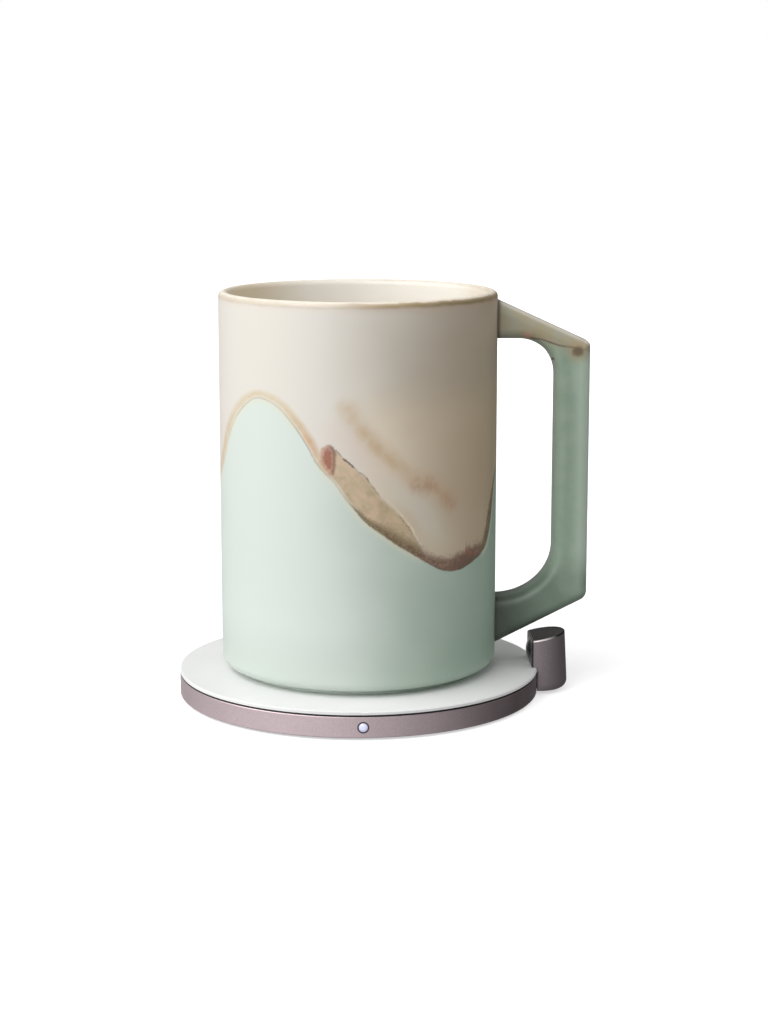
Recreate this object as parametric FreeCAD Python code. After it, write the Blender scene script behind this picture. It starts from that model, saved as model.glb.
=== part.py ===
import FreeCAD, Part
import math
import os

os.makedirs("parts", exist_ok=True)

# An electric mug warmer: a thin round heating base with a sensor tower at its edge and a ceramic mug
# that stands on it. Millimetres, +Z up, the origin on the table under the disc's axis. The button is
# at -Y, the power inlet at +Y, and the tower and the mug's handle are at +X.

# Fits
slide_fit = 0.05
seat_fit = 0.10
bond_gap = 0.05
thread_fit = 0.04
TINY = 1e-6

# Round housing
disc_radius = 52.5
ring_height = 6.0
ring_wall = 2.2
ring_rebate = 1.0
ring_edge = 0.25
lug_radius = 2.2
lug_inset = 2.0
lug_height = 3.6
lug_angles = (70.0, 150.0, 210.0, 290.0)

# Bottom cover and foot
cover_thickness = 1.2
cover_rib_radius = 21.0
cover_rib_width = 1.5
foot_thickness = 0.8
foot_inset = 4.0
foot_edge = 0.3

# Top plate
gasket_height = 0.5
gasket_inset = 0.5
plate_thickness = 1.0
plate_edge = 0.3

# Heater stack under the plate
pan_room = 3.3
spreader_thickness = 0.8
film_inset = 2.2
film_thickness = 0.25
pad_thickness = 1.8
pan_wall = 0.6
pan_floor = 0.5
pan_flange = 2.5
thermistor_radius = 1.4
thermistor_height = 1.2
fuse_radius = 0.75
fuse_length = 9.0
fuse_inset = 11.0
heater_lead_radius = 0.45
heater_lead_spacing = 2.6
heater_lead_inset = 4.0
sense_lead_radius = 0.3
sense_lead_spacing = 1.4
pocket_play = 0.6

# Control board and what is on it
board_margin = 1.5
board_width = 8.6
board_thickness = 1.0
board_span = 250.0
standoff_radius = 1.7
board_screw_angles = (-112.0, -45.0, 45.0, 112.0)
controller_size = 4.6
controller_height = 1.0
controller_angle = -56.0
power_chip_size = 4.0
power_chip_height = 0.9
power_chip_angle = 56.0
inductor_size = 5.0
inductor_height = 2.0
inductor_edge = 0.5
inductor_angle = 102.0
transistor_size = 3.2
transistor_height = 1.0
transistor_angles = (36.0, 119.0)
capacitor_length = 2.0
capacitor_width = 1.25
capacitor_height = 1.2
capacitor_angles = (-119.0, -103.0, -98.0, -14.0, -10.0, 10.0, 14.0, 62.0, 79.0)
connector_length = 4.0
connector_width = 5.0
connector_height = 2.1
heater_plug_angle = -28.0
sense_plug_angle = 25.0

# Screws
small_screw_radius = 0.8
small_head_radius = 1.4
small_head_height = 0.7
cover_screw_radius = 1.0
cover_head_radius = 1.9
cover_head_height = 0.7
screw_socket_radius = 0.5
screw_socket_depth = 0.4
screw_tip_room = 0.3

# Power inlet
inlet_width = 8.94
inlet_height = 3.16
inlet_length = 7.35
inlet_sheet = 0.3
inlet_recess = 0.6
inlet_fit = 0.15
tongue_width = 6.7
tongue_thickness = 0.7
tongue_reach = 5.0
tongue_block = 1.6
contact_count = 12
contact_pitch = 0.5
contact_width = 0.25
contact_height = 0.08
contact_length = 3.4

# Push button and its switch
lens_radius = 1.2
lens_proud = 0.1
lens_dome = 0.25
bezel_wall = 0.35
bezel_tail = 0.1
button_flange_radius = 1.7
button_flange = 0.5
button_travel = 0.4
plunger_radius = 0.6
plunger_engage = 0.7
switch_gap = 0.3
switch_width = 4.4
switch_depth = 3.2
switch_height = 1.9
led_width = 1.2
led_depth = 0.8
led_height = 1.0
led_spread = 3.4

# Sensor tower at the edge of the disc
tower_offset = 0.9
tower_overlap = 2.0
tower_top_radius = 7.5
tower_foot_radius = 8.3
tower_brow = 0.5
tower_rise = 2.0
tower_corner = 2.5
tower_wall = 1.3
tower_floor = 1.3
tower_sill = 0.6
tower_ring_wall = 1.5
tower_duct = 2.6
tower_rim = 0.5
tower_edge = 0.35
cap_thickness = 1.2
cap_sink = 0.1
tower_screw_angle = 5.2
tower_screw_reach = 2.2

# Sensor behind the tower's window
window_radius = 3.5
window_sill = 0.3
window_bulge = 1.1
window_lip = 0.8
window_shell = 0.6
seal_depth = 0.3
seal_width = 0.35
can_radius = 2.3
can_height = 1.8
can_flange = 0.35
can_flange_height = 0.4
can_gap = 0.4
sensor_board_inset = 0.5
sensor_board_thickness = 0.6
cable_radius = 0.6
cable_hole_play = 0.4
cable_stub = 0.1
cable_bend = 1.7
cable_turn = 2.6

# Mug
mug_radius = 40.0
mug_height = 110.0
mug_wall = 3.2
mug_floor = 5.0
mug_corner = 3.0
mug_inner_corner = 4.0
mug_foot_inset = 4.5
mug_foot_height = 1.5
mug_foot_edge = 0.4
mug_foot_width = 3.5
mug_recess = 0.5

# Mug handle
handle_projection = 26.6
handle_grip = 9.9
handle_depth = 12.0
handle_arm = 6.5
handle_flat = 0.5
handle_top_drop = 2.8
handle_top_fall = 12.2
handle_top_corner_radius = 1.5
handle_low_root = 7.0
handle_low_climb = 13.3
handle_low_corner_radius = 3.0
gap_low_room = 13.5
gap_low_curve = 15.0
gap_high_radius = 10.8
QUARTER_ELLIPSE = 0.5523

# Levels worked out from the stack
ring_bottom = foot_thickness
ring_top = ring_bottom + ring_height
ring_inner = disc_radius - ring_wall
board_outer = ring_inner - board_margin
board_inner = board_outer - board_width
board_circle = (board_inner + board_outer) / 2
pan_outer = board_inner - pan_room
pan_inner = pan_outer - pan_wall
spreader_radius = pan_inner - seat_fit
film_radius = spreader_radius - film_inset
fuse_place = film_radius - fuse_inset
heater_lead_start = film_radius - heater_lead_inset
cover_top = ring_bottom + cover_thickness
plate_bottom = ring_top + gasket_height
plate_top = plate_bottom + plate_thickness
film_top = plate_bottom - spreader_thickness
pad_top = film_top - film_thickness
pad_bottom = pad_top - pad_thickness
pan_bottom = pad_bottom - pan_floor
lead_level = (pad_top + pad_bottom) / 2
port_level = ring_bottom + ring_height / 2
board_bottom = port_level - board_thickness / 2
board_top = board_bottom + board_thickness
lug_circle = ring_inner - lug_inset
cover_radius = ring_inner + ring_rebate - seat_fit
bezel_radius = lens_radius + slide_fit + bezel_wall
bezel_back = ring_inner - bezel_tail
flange_back = bezel_back - button_flange
switch_front = flange_back - button_travel - switch_gap
plunger_tip = switch_front - plunger_engage
inlet_mouth = disc_radius - inlet_recess
inlet_back = inlet_mouth - inlet_length
tower_join = disc_radius + seat_fit
tower_bottom = ring_bottom
tower_axis = disc_radius + tower_offset
tower_flat = disc_radius - tower_overlap
window_level = plate_top + window_sill + window_radius
window_spigot = window_radius - window_lip
tower_low_height = window_level + window_radius + tower_brow - tower_bottom
tower_high_height = tower_low_height + tower_rise
window_inner_face = tower_flat + tower_wall
can_front = window_inner_face + can_gap
sensor_board_front = can_front + can_height
sensor_board_back = sensor_board_front + sensor_board_thickness
cable_x = sensor_board_back + cable_stub + cable_bend
sensor_plug_outer = board_circle + connector_length / 2

# The mug's levels from the table, and the handle's heights from the mug's underside
mug_top = plate_top + mug_height
mug_foot_radius = mug_radius - mug_foot_inset
mug_recess_radius = mug_foot_radius - mug_foot_width
handle_reach = mug_radius + handle_projection
grip_inner = handle_reach - handle_grip
handle_edge = (handle_arm - handle_flat) / 2
handle_top_root = mug_height - handle_top_drop
handle_top_corner = handle_top_root - handle_top_fall
handle_top_slope = handle_top_fall / handle_projection
handle_low_corner = handle_low_root + handle_low_climb
handle_low_slope = handle_low_climb / handle_projection
gap_low = handle_low_root + gap_low_room
gap_arc_x = grip_inner - gap_high_radius
gap_arc_to_edge = (gap_high_radius + handle_arm) * math.hypot(1, handle_top_slope)
gap_arc_height = handle_top_root - handle_top_slope * (gap_arc_x - mug_radius) - gap_arc_to_edge
gap_high = gap_arc_height + gap_high_radius
ORIGIN = FreeCAD.Vector(0, 0, 0)
UP = FreeCAD.Vector(0, 0, 1)
OUTWARD = FreeCAD.Vector(1, 0, 0)


def point(x, y, z):
    return FreeCAD.Vector(x, y, z)


def disc(radius, bottom, top):
    return Part.makeCylinder(radius, top - bottom, point(0, 0, bottom))


def collar(outer, inner, bottom, top):
    return disc(outer, bottom, top).cut(disc(inner, bottom, top))


def block(low, high):
    size = high - low
    return Part.makeBox(size.x, size.y, size.z, low)


def rod(radius, start, end):
    axis = end - start
    return Part.makeCylinder(radius, axis.Length, start, axis)


def at_angle(shape, angle):
    return shape.rotated(ORIGIN, UP, angle)


def joined(shapes):
    return shapes[0].multiFuse(shapes[1:]).removeSplitter()


def save(name, shape):
    shape.exportStep("parts/" + name + ".step")


def save_group(name, shapes):
    save(name, Part.makeCompound(shapes))


# Corner list (point, radius) to straight runs and tangent arcs
def rounded_edges(corners, closed):
    bends = []
    for index, (corner, radius) in enumerate(corners):
        if radius == 0:
            bends.append((corner, corner, corner))
            continue
        back = (corners[index - 1][0] - corner).normalize()
        ahead = (corners[(index + 1) % len(corners)][0] - corner).normalize()
        half_turn = back.getAngle(ahead) / 2
        inward = (back + ahead).normalize()
        reach = radius / math.tan(half_turn)
        middle = corner + inward * (radius / math.sin(half_turn) - radius)
        bends.append((corner + back * reach, middle, corner + ahead * reach))
    edges = []
    for index, (start, middle, end) in enumerate(bends):
        if start.distanceToPoint(end) > 0:
            edges.append(Part.Arc(start, middle, end).toShape())
        is_last = index == len(bends) - 1
        following = bends[(index + 1) % len(bends)][0]
        if (closed or not is_last) and end.distanceToPoint(following) > TINY:
            edges.append(Part.LineSegment(end, following).toShape())
    return edges


def lathe(profile, axis_x=0.0):
    corners = [(point(axis_x + radius, 0, z), bend) for radius, z, bend in profile]
    face = Part.Face(Part.Wire(rounded_edges(corners, True)))
    return face.revolve(point(axis_x, 0, 0), UP, 360)


def screw(tip, head_seat, shank_radius, head_radius, head_height):
    drive = (head_seat - tip).normalize()
    shank = rod(shank_radius, tip, head_seat)
    head_top = head_seat + drive * head_height
    head = rod(head_radius, head_seat, head_top)
    socket = rod(screw_socket_radius, head_top - drive * screw_socket_depth, head_top)
    return joined([shank, head]).cut(socket)


def make_housing_ring():
    profile = [
        (ring_inner, cover_top, 0),
        (ring_inner + ring_rebate, cover_top, 0),
        (ring_inner + ring_rebate, ring_bottom, 0),
        (disc_radius - ring_edge, ring_bottom, 0),
        (disc_radius, ring_bottom + ring_edge, 0),
        (disc_radius, ring_top - ring_edge, 0),
        (disc_radius - ring_edge, ring_top, 0),
        (ring_inner, ring_top, 0),
    ]
    ring = lathe(profile)
    lug_top = cover_top + lug_height
    wall_side = collar(disc_radius - ring_edge, ring_inner, cover_top, lug_top)
    hole_top = lug_top - screw_tip_room
    lugs = []
    holes = []
    for angle in lug_angles:
        low = point(lug_circle, 0, cover_top)
        lug = rod(lug_radius, low, point(lug_circle, 0, lug_top))
        hole = rod(cover_screw_radius + thread_fit, low, point(lug_circle, 0, hole_top))
        lugs.append(at_angle(lug.cut(wall_side), angle))
        holes.append(at_angle(hole, angle))
    holes.append(button_bore(bezel_radius + bond_gap))
    holes.append(inlet_prism(inlet_fit, inlet_back, disc_radius + ring_wall))
    holes.append(cable_passage())
    holes.extend(tower_screw_holes(small_screw_radius + seat_fit))
    save("housing_ring", joined([ring] + lugs).cut(holes))


def button_bore(radius):
    start = point(0, -ring_inner + ring_wall, port_level)
    return rod(radius, start, point(0, -disc_radius - ring_wall, port_level))


def cable_passage():
    start = point(ring_inner - ring_wall, 0, lead_level)
    end = point(tower_join + tower_ring_wall + tower_duct, 0, lead_level)
    return rod(cable_radius + cable_hole_play, start, end)


def tower_screw_holes(radius):
    holes = []
    for side in (-1, 1):
        start = point(ring_inner - ring_wall, 0, port_level)
        end = point(tower_join + tower_screw_reach + screw_tip_room, 0, port_level)
        holes.append(at_angle(rod(radius, start, end), side * tower_screw_angle))
    return holes


def inlet_prism(grow, start_y, end_y):
    half_width = inlet_width / 2 + grow
    half_height = inlet_height / 2 + grow
    corners = [
        (point(-half_width, start_y, port_level - half_height), half_height),
        (point(half_width, start_y, port_level - half_height), half_height),
        (point(half_width, start_y, port_level + half_height), half_height),
        (point(-half_width, start_y, port_level + half_height), half_height),
    ]
    face = Part.Face(Part.Wire(rounded_edges(corners, True)))
    return face.extrude(point(0, end_y - start_y, 0))


def make_base_cover():
    plate = disc(cover_radius, ring_bottom, cover_top)
    rib_inner = cover_rib_radius - cover_rib_width / 2
    rib_outer = cover_rib_radius + cover_rib_width / 2
    rib = collar(rib_outer, rib_inner, cover_top, pan_bottom)
    posts = []
    holes = [inlet_prism(seat_fit, inlet_back - seat_fit, cover_radius - ring_rebate)]
    button_outer = point(0, -bezel_back - seat_fit, port_level)
    button_inner = point(0, -flange_back + button_travel + seat_fit, port_level)
    holes.append(rod(button_flange_radius + seat_fit, button_outer, button_inner))
    for angle in board_screw_angles:
        low = point(board_circle, 0, cover_top)
        high = point(board_circle, 0, board_bottom)
        posts.append(at_angle(rod(standoff_radius, low, high), angle))
        bore = rod(small_screw_radius + thread_fit, point(board_circle, 0, board_screw_tip()), high)
        holes.append(at_angle(bore, angle))
    for angle in lug_angles:
        low = point(lug_circle, 0, ring_bottom)
        head_seat = point(lug_circle, 0, ring_bottom + cover_head_height)
        through = point(lug_circle, 0, cover_top)
        holes.append(at_angle(rod(cover_head_radius + seat_fit, low, head_seat), angle))
        holes.append(at_angle(rod(cover_screw_radius + seat_fit, head_seat, through), angle))
    save("base_cover", joined([plate, rib] + posts).cut(holes))


def board_screw_tip():
    return ring_bottom + cover_thickness / 2


def make_cover_screws():
    screws = []
    tip = point(lug_circle, 0, cover_top + lug_height - 2 * screw_tip_room)
    seat = point(lug_circle, 0, ring_bottom + cover_head_height)
    for angle in lug_angles:
        one = screw(tip, seat, cover_screw_radius, cover_head_radius, cover_head_height)
        screws.append(at_angle(one, angle))
    save_group("cover_screws", screws)


def make_foot_pad():
    radius = disc_radius - foot_inset
    profile = [
        (0, 0, 0),
        (radius - foot_edge, 0, 0),
        (radius, foot_edge, 0),
        (radius, ring_bottom, 0),
        (0, ring_bottom, 0),
    ]
    save("foot_pad", lathe(profile))


def make_plate_gasket():
    outer = disc_radius - gasket_inset
    inner = ring_inner + gasket_inset
    save("plate_gasket", collar(outer, inner, ring_top, plate_bottom))


def make_top_plate():
    profile = [
        (0, plate_bottom, 0),
        (disc_radius, plate_bottom, 0),
        (disc_radius, plate_top, plate_edge),
        (0, plate_top, 0),
    ]
    save("top_plate", lathe(profile))


def heater_lead_offsets():
    return (-heater_lead_spacing / 2, heater_lead_spacing / 2)


def sense_lead_offsets():
    return (-sense_lead_spacing / 2, sense_lead_spacing / 2)


def heater_lead_starts():
    return (heater_lead_start, fuse_place + fuse_length / 2)


def lead_tunnels():
    plug_inner = board_circle - connector_length / 2
    tunnels = []
    for offset, start in zip(heater_lead_offsets(), heater_lead_starts()):
        low = point(start - pocket_play, offset, lead_level)
        tunnel = rod(heater_lead_radius + seat_fit, low, point(plug_inner, offset, lead_level))
        tunnels.append(at_angle(tunnel, heater_plug_angle))
    for offset in sense_lead_offsets():
        low = point(0, offset, lead_level)
        tunnel = rod(sense_lead_radius + seat_fit, low, point(plug_inner, offset, lead_level))
        tunnels.append(at_angle(tunnel, sense_plug_angle))
    return tunnels


def make_heater_pan():
    profile = [
        (0, pan_bottom, 0),
        (pan_outer, pan_bottom, pan_wall),
        (pan_outer, plate_bottom - pan_floor, 0),
        (pan_outer + pan_flange, plate_bottom - pan_floor, 0),
        (pan_outer + pan_flange, plate_bottom, 0),
        (pan_inner, plate_bottom, 0),
        (pan_inner, pad_bottom, 0),
        (0, pad_bottom, 0),
    ]
    save("heater_pan", lathe(profile).cut(lead_tunnels()))


def make_heat_stack():
    save("heat_spreader", disc(spreader_radius, film_top, plate_bottom))
    save("heater_film", disc(film_radius, pad_top, film_top))


def make_insulation_pad():
    pad = disc(spreader_radius, pad_bottom, pad_top)
    bead_pocket = disc(thermistor_radius + pocket_play, pad_bottom, pad_top)
    half_length = fuse_length / 2 + pocket_play
    half_width = fuse_radius + pocket_play
    offset = heater_lead_offsets()[1]
    low = point(fuse_place - half_length, offset - half_width, pad_bottom)
    high = point(fuse_place + half_length, offset + half_width, pad_top)
    fuse_pocket = at_angle(block(low, high), heater_plug_angle)
    save("insulation_pad", pad.cut([bead_pocket, fuse_pocket] + lead_tunnels()))


def make_thermistor():
    bead = disc(thermistor_radius, pad_top - thermistor_height, pad_top)
    save("thermistor", bead.makeFillet(thermistor_height / 4, [bead.Edges[-1]]))


def make_thermal_fuse():
    offset = heater_lead_offsets()[1]
    start = point(fuse_place - fuse_length / 2, offset, lead_level)
    end = point(fuse_place + fuse_length / 2, offset, lead_level)
    save("thermal_fuse", at_angle(rod(fuse_radius, start, end), heater_plug_angle))


def make_leads():
    plug_inner = board_circle - connector_length / 2
    heater_leads = []
    for offset, start in zip(heater_lead_offsets(), heater_lead_starts()):
        end = point(plug_inner, offset, lead_level)
        lead = rod(heater_lead_radius, point(start, offset, lead_level), end)
        heater_leads.append(at_angle(lead, heater_plug_angle))
    save_group("heater_leads", heater_leads)
    sense_leads = []
    for offset in sense_lead_offsets():
        start = point(thermistor_radius + bond_gap, offset, lead_level)
        lead = rod(sense_lead_radius, start, point(plug_inner, offset, lead_level))
        sense_leads.append(at_angle(lead, sense_plug_angle))
    save_group("thermistor_leads", sense_leads)


def make_control_board():
    wedge = Part.makeCylinder(board_outer, board_thickness, point(0, 0, board_bottom), UP, board_span)
    board = at_angle(wedge, -board_span / 2).cut(disc(board_inner, board_bottom, board_top))
    notches = [inlet_prism(seat_fit, inlet_back - seat_fit, disc_radius)]
    half_switch = switch_width / 2 + seat_fit
    switch_back = -switch_front + switch_depth + seat_fit
    low = point(-half_switch, -disc_radius, board_bottom)
    notches.append(block(low, point(half_switch, switch_back, board_top)))
    for angle in lug_angles:
        low = point(lug_circle, 0, board_bottom)
        lug_room = rod(lug_radius + pocket_play, low, point(lug_circle, 0, board_top))
        notches.append(at_angle(lug_room, angle))
    for angle in board_screw_angles:
        low = point(board_circle, 0, board_bottom)
        hole = rod(small_screw_radius + seat_fit, low, point(board_circle, 0, board_top))
        notches.append(at_angle(hole, angle))
    save("control_board", board.cut(notches))


def make_board_screws():
    screws = []
    tip = point(board_circle, 0, board_screw_tip() + screw_tip_room)
    seat = point(board_circle, 0, board_top)
    for angle in board_screw_angles:
        one = screw(tip, seat, small_screw_radius, small_head_radius, small_head_height)
        screws.append(at_angle(one, angle))
    save_group("board_screws", screws)


def chip(length, width, height, angle):
    low = point(board_circle - length / 2, -width / 2, board_top)
    high = point(board_circle + length / 2, width / 2, board_top + height)
    return at_angle(block(low, high), angle)


def make_board_parts():
    save("controller_chip", chip(controller_size, controller_size, controller_height, controller_angle))
    save("power_chip", chip(power_chip_size, power_chip_size, power_chip_height, power_chip_angle))
    coil = chip(inductor_size, inductor_size, inductor_height, inductor_angle)
    upright = [edge for edge in coil.Edges if edge.BoundBox.ZLength > inductor_height - TINY]
    save("power_inductor", coil.makeChamfer(inductor_edge, upright))
    transistors = []
    for angle in transistor_angles:
        transistors.append(chip(transistor_size, transistor_size, transistor_height, angle))
    save_group("power_transistors", transistors)
    capacitors = []
    for angle in capacitor_angles:
        capacitors.append(chip(capacitor_length, capacitor_width, capacitor_height, angle))
    save_group("board_capacitors", capacitors)
    connectors = []
    top = lead_level + connector_height / 2 - board_top
    for angle in (heater_plug_angle, 0.0, sense_plug_angle):
        connectors.append(chip(connector_length, connector_width, top, angle))
    save_group("wire_connectors", connectors)


def make_power_inlet():
    outer = inlet_prism(0, inlet_back, inlet_mouth)
    hollow = inlet_prism(-inlet_sheet, inlet_back, inlet_mouth)
    save("usb_shell", outer.cut(hollow))
    filler = inlet_prism(-inlet_sheet - bond_gap, inlet_back, inlet_back + tongue_block)
    half_width = tongue_width / 2
    half_thickness = tongue_thickness / 2
    tongue_end = inlet_back + tongue_block + tongue_reach
    low = point(-half_width, inlet_back, port_level - half_thickness)
    tongue = block(low, point(half_width, tongue_end, port_level + half_thickness))
    save("usb_tongue", joined([filler, tongue]))
    contacts = []
    contact_end = tongue_end - contact_pitch
    for index in range(contact_count):
        centre = (index - (contact_count - 1) / 2) * contact_pitch
        for side in (-1, 1):
            inner = port_level + side * half_thickness
            outer = inner + side * contact_height
            low = point(centre - contact_width / 2, contact_end - contact_length, min(inner, outer))
            high = point(centre + contact_width / 2, contact_end, max(inner, outer))
            contacts.append(block(low, high))
    save_group("usb_contacts", contacts)


def lying_lathe(profile, height):
    upright = lathe(profile)
    return upright.rotated(ORIGIN, OUTWARD, 90).translated(point(0, 0, height))


def make_button():
    bore = lens_radius + slide_fit
    front = disc_radius
    bezel = [
        (bore, bezel_back, 0),
        (bezel_radius, bezel_back, 0),
        (bezel_radius, front, 0),
        (bore, front, 0),
    ]
    save("button_bezel", lying_lathe(bezel, port_level))
    lens_front = front + lens_proud
    cap = [
        (0, flange_back, 0),
        (button_flange_radius, flange_back, 0),
        (button_flange_radius, bezel_back, 0),
        (lens_radius, bezel_back, 0),
        (lens_radius, lens_front, lens_proud),
        (lens_radius / 2, lens_front + lens_dome, lens_dome),
        (0, lens_front + lens_dome, 0),
    ]
    save("button_cap", lying_lathe(cap, port_level))
    plunger = rod(plunger_radius, point(0, -flange_back, port_level), point(0, -plunger_tip, port_level))
    save("switch_plunger", plunger)


def make_switch():
    half_width = switch_width / 2
    half_height = switch_height / 2
    low = point(-half_width, -switch_front, port_level - half_height)
    high = point(half_width, -switch_front + switch_depth, port_level + half_height)
    bore_start = point(0, -switch_front, port_level)
    bore_end = point(0, -plunger_tip + button_travel + switch_gap, port_level)
    bore = rod(plunger_radius + slide_fit, bore_start, bore_end)
    save("switch_body", block(low, high).cut(bore))
    leds = []
    for side in (-1, 1):
        low = point(side * led_spread - led_width / 2, -board_outer + seat_fit, board_top)
        high = low + point(led_width, led_depth, led_height)
        leds.append(block(low, high))
    save_group("status_leds", leds)


def tower_radius(z):
    share = (z - tower_bottom) / tower_low_height
    return tower_foot_radius + (tower_top_radius - tower_foot_radius) * share


def tower_top_plane(drop):
    span = tower_axis + tower_top_radius - tower_flat
    slope = (tower_high_height - tower_low_height) / span
    return [tower_bottom + tower_low_height - drop, slope]


# Everything above the tower's slanted top, lowered by drop
def above_tower(drop):
    level, slope = tower_top_plane(drop)
    reach = disc_radius + 2 * tower_foot_radius
    near = tower_flat - tower_foot_radius
    lid_top = plate_top + mug_height
    outline = [
        point(near, -reach, level + slope * (near - tower_flat)),
        point(reach, -reach, level + slope * (reach - tower_flat)),
        point(reach, -reach, lid_top),
        point(near, -reach, lid_top),
    ]
    face = Part.Face(Part.makePolygon(outline + outline[:1]))
    return face.extrude(point(0, 2 * reach, 0))


# The tower's D shape, drawn in from its outer faces by inset
def tower_form(inset, bottom, corner):
    top = tower_bottom + tower_high_height + tower_top_radius
    profile = [
        (0, bottom, 0),
        (tower_radius(bottom) - inset, bottom, corner),
        (tower_radius(top) - inset, top, 0),
        (0, top, 0),
    ]
    low = point(0, -disc_radius, bottom)
    behind_flat = block(low, point(tower_flat + inset, disc_radius, top))
    return lathe(profile, tower_axis).cut(behind_flat)


def make_tower_shell():
    outer = tower_form(0, tower_bottom, tower_corner).cut(above_tower(0))
    top_face = max(outer.Faces, key=lambda face: face.CenterOfMass.z)
    uprights = [edge for edge in outer.Edges if is_tower_upright(edge)]
    outer = outer.makeFillet(tower_edge, uprights + top_face.Edges)
    cuts = [disc(tower_join, tower_bottom, plate_top)]
    cavity_floor = plate_top + tower_sill
    cuts.append(tower_form(tower_wall, cavity_floor, 0).cut(above_tower(cap_thickness)))
    duct_near = tower_join + tower_ring_wall
    duct_far = disc_radius + 2 * tower_foot_radius
    duct_low = point(duct_near, -tower_duct, tower_bottom + tower_floor)
    duct = block(duct_low, point(duct_far, tower_duct, cavity_floor + tower_sill))
    cuts.append(duct.common(tower_form(tower_wall, tower_bottom, tower_corner)))
    cap_room = tower_form(tower_rim, tower_bottom, 0)
    cuts.append(cap_room.common(above_tower(cap_thickness)))
    cuts.append(rod(window_spigot + slide_fit, point(tower_flat, 0, window_level), cavity_mid()))
    seal_seat = point(tower_flat + seal_depth, 0, window_level)
    seal_radius = window_spigot + slide_fit + seal_width
    cuts.append(rod(seal_radius, point(tower_flat, 0, window_level), seal_seat))
    cuts.append(cable_passage())
    cuts.extend(tower_screw_holes(small_screw_radius + thread_fit))
    save("tower_shell", outer.cut(cuts))


def is_tower_upright(edge):
    box = edge.BoundBox
    at_flat = box.XMax < tower_flat + TINY
    return at_flat and box.ZLength > tower_low_height / 2


def cavity_mid():
    return point(tower_axis, 0, window_level)


def make_tower_cap():
    blank = tower_form(tower_rim + bond_gap, tower_bottom, 0).common(above_tower(cap_thickness))
    save("tower_cap", blank.cut(above_tower(cap_sink)))


def make_tower_window():
    dome = (window_radius ** 2 + window_bulge ** 2) / (2 * window_bulge)
    skin = dome - window_shell
    ball_centre = point(tower_flat - window_bulge + dome, 0, window_level)
    face_centre = point(tower_flat, 0, window_level)
    spigot_end = point(window_inner_face, 0, window_level)
    cutter = rod(window_radius, point(tower_flat - window_bulge, 0, window_level), face_centre)
    bulge = Part.makeSphere(dome, ball_centre).common(cutter)
    spigot = rod(window_spigot, face_centre, spigot_end)
    bore = rod(window_spigot - window_shell, point(tower_flat - window_bulge, 0, window_level), spigot_end)
    inner_ball = Part.makeSphere(skin, ball_centre)
    hollow = inner_ball.common(bore)
    save("tower_window", joined([bulge, spigot]).cut(hollow))
    seal_inner = window_spigot + slide_fit
    seal_end = point(tower_flat + seal_depth, 0, window_level)
    seal = rod(seal_inner + seal_width - bond_gap, face_centre, seal_end)
    save("window_seal", seal.cut(rod(seal_inner, face_centre, seal_end)))


def make_sensor():
    base = point(sensor_board_front, 0, window_level)
    can = rod(can_radius, point(can_front, 0, window_level), base)
    flange = rod(can_radius + can_flange, base - OUTWARD * can_flange_height, base)
    save("sensor_can", joined([can, flange]))
    room = tower_top_radius - tower_wall
    half_width = math.sqrt(room ** 2 - (sensor_board_back - tower_axis) ** 2) - seat_fit
    half_height = window_radius - sensor_board_inset
    low = point(sensor_board_front, -half_width, window_level - half_height)
    save("sensor_board", block(low, point(sensor_board_back, half_width, window_level + half_height)))


def make_sensor_cable():
    corners = [
        (point(sensor_board_back, 0, window_level), 0),
        (point(cable_x, 0, window_level), cable_bend),
        (point(cable_x, 0, lead_level), cable_turn),
        (point(sensor_plug_outer, 0, lead_level), 0),
    ]
    path = Part.Wire(rounded_edges(corners, False))
    section = Part.Wire(Part.makeCircle(cable_radius, corners[0][0], OUTWARD))
    cable = path.makePipeShell([section], True, False)
    save("sensor_cable", cable)
    print("sensor cable bends", cable_bend, cable_turn)
    print("sensor cable volume", cable.Volume, "section times length", section_area() * path.Length)


def section_area():
    return math.pi * cable_radius ** 2


def make_tower_screws():
    screws = []
    head_seat = ring_inner - small_head_radius ** 2 / ring_inner
    for side in (-1, 1):
        tip = point(tower_join + tower_screw_reach, 0, port_level)
        seat = point(head_seat, 0, port_level)
        one = screw(tip, seat, small_screw_radius, small_head_radius, small_head_height)
        screws.append(at_angle(one, side * tower_screw_angle))
    save_group("tower_screws", screws)


def make_mug_body():
    under = plate_top + mug_foot_height
    inside = under + mug_floor
    inner = mug_radius - mug_wall
    lip = mug_wall / 2
    profile = [
        (0, plate_top + mug_recess, 0),
        (mug_recess_radius, plate_top + mug_recess, 0),
        (mug_recess_radius + mug_recess, plate_top, 0),
        (mug_foot_radius, plate_top, mug_foot_edge),
        (mug_foot_radius, under, 0),
        (mug_radius, under, mug_corner),
        (mug_radius, mug_top, lip),
        (inner, mug_top, lip),
        (inner, inside, mug_inner_corner),
        (0, inside, 0),
    ]
    save("mug_body", lathe(profile))


def handle_outer_edges(root):
    inset = mug_radius - root
    return [
        point(root, handle_top_root + handle_top_slope * inset, 0),
        point(handle_reach, handle_top_corner, 0),
        point(handle_reach, handle_low_corner, 0),
        point(root, handle_low_root - handle_low_slope * inset, 0),
    ]


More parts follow.
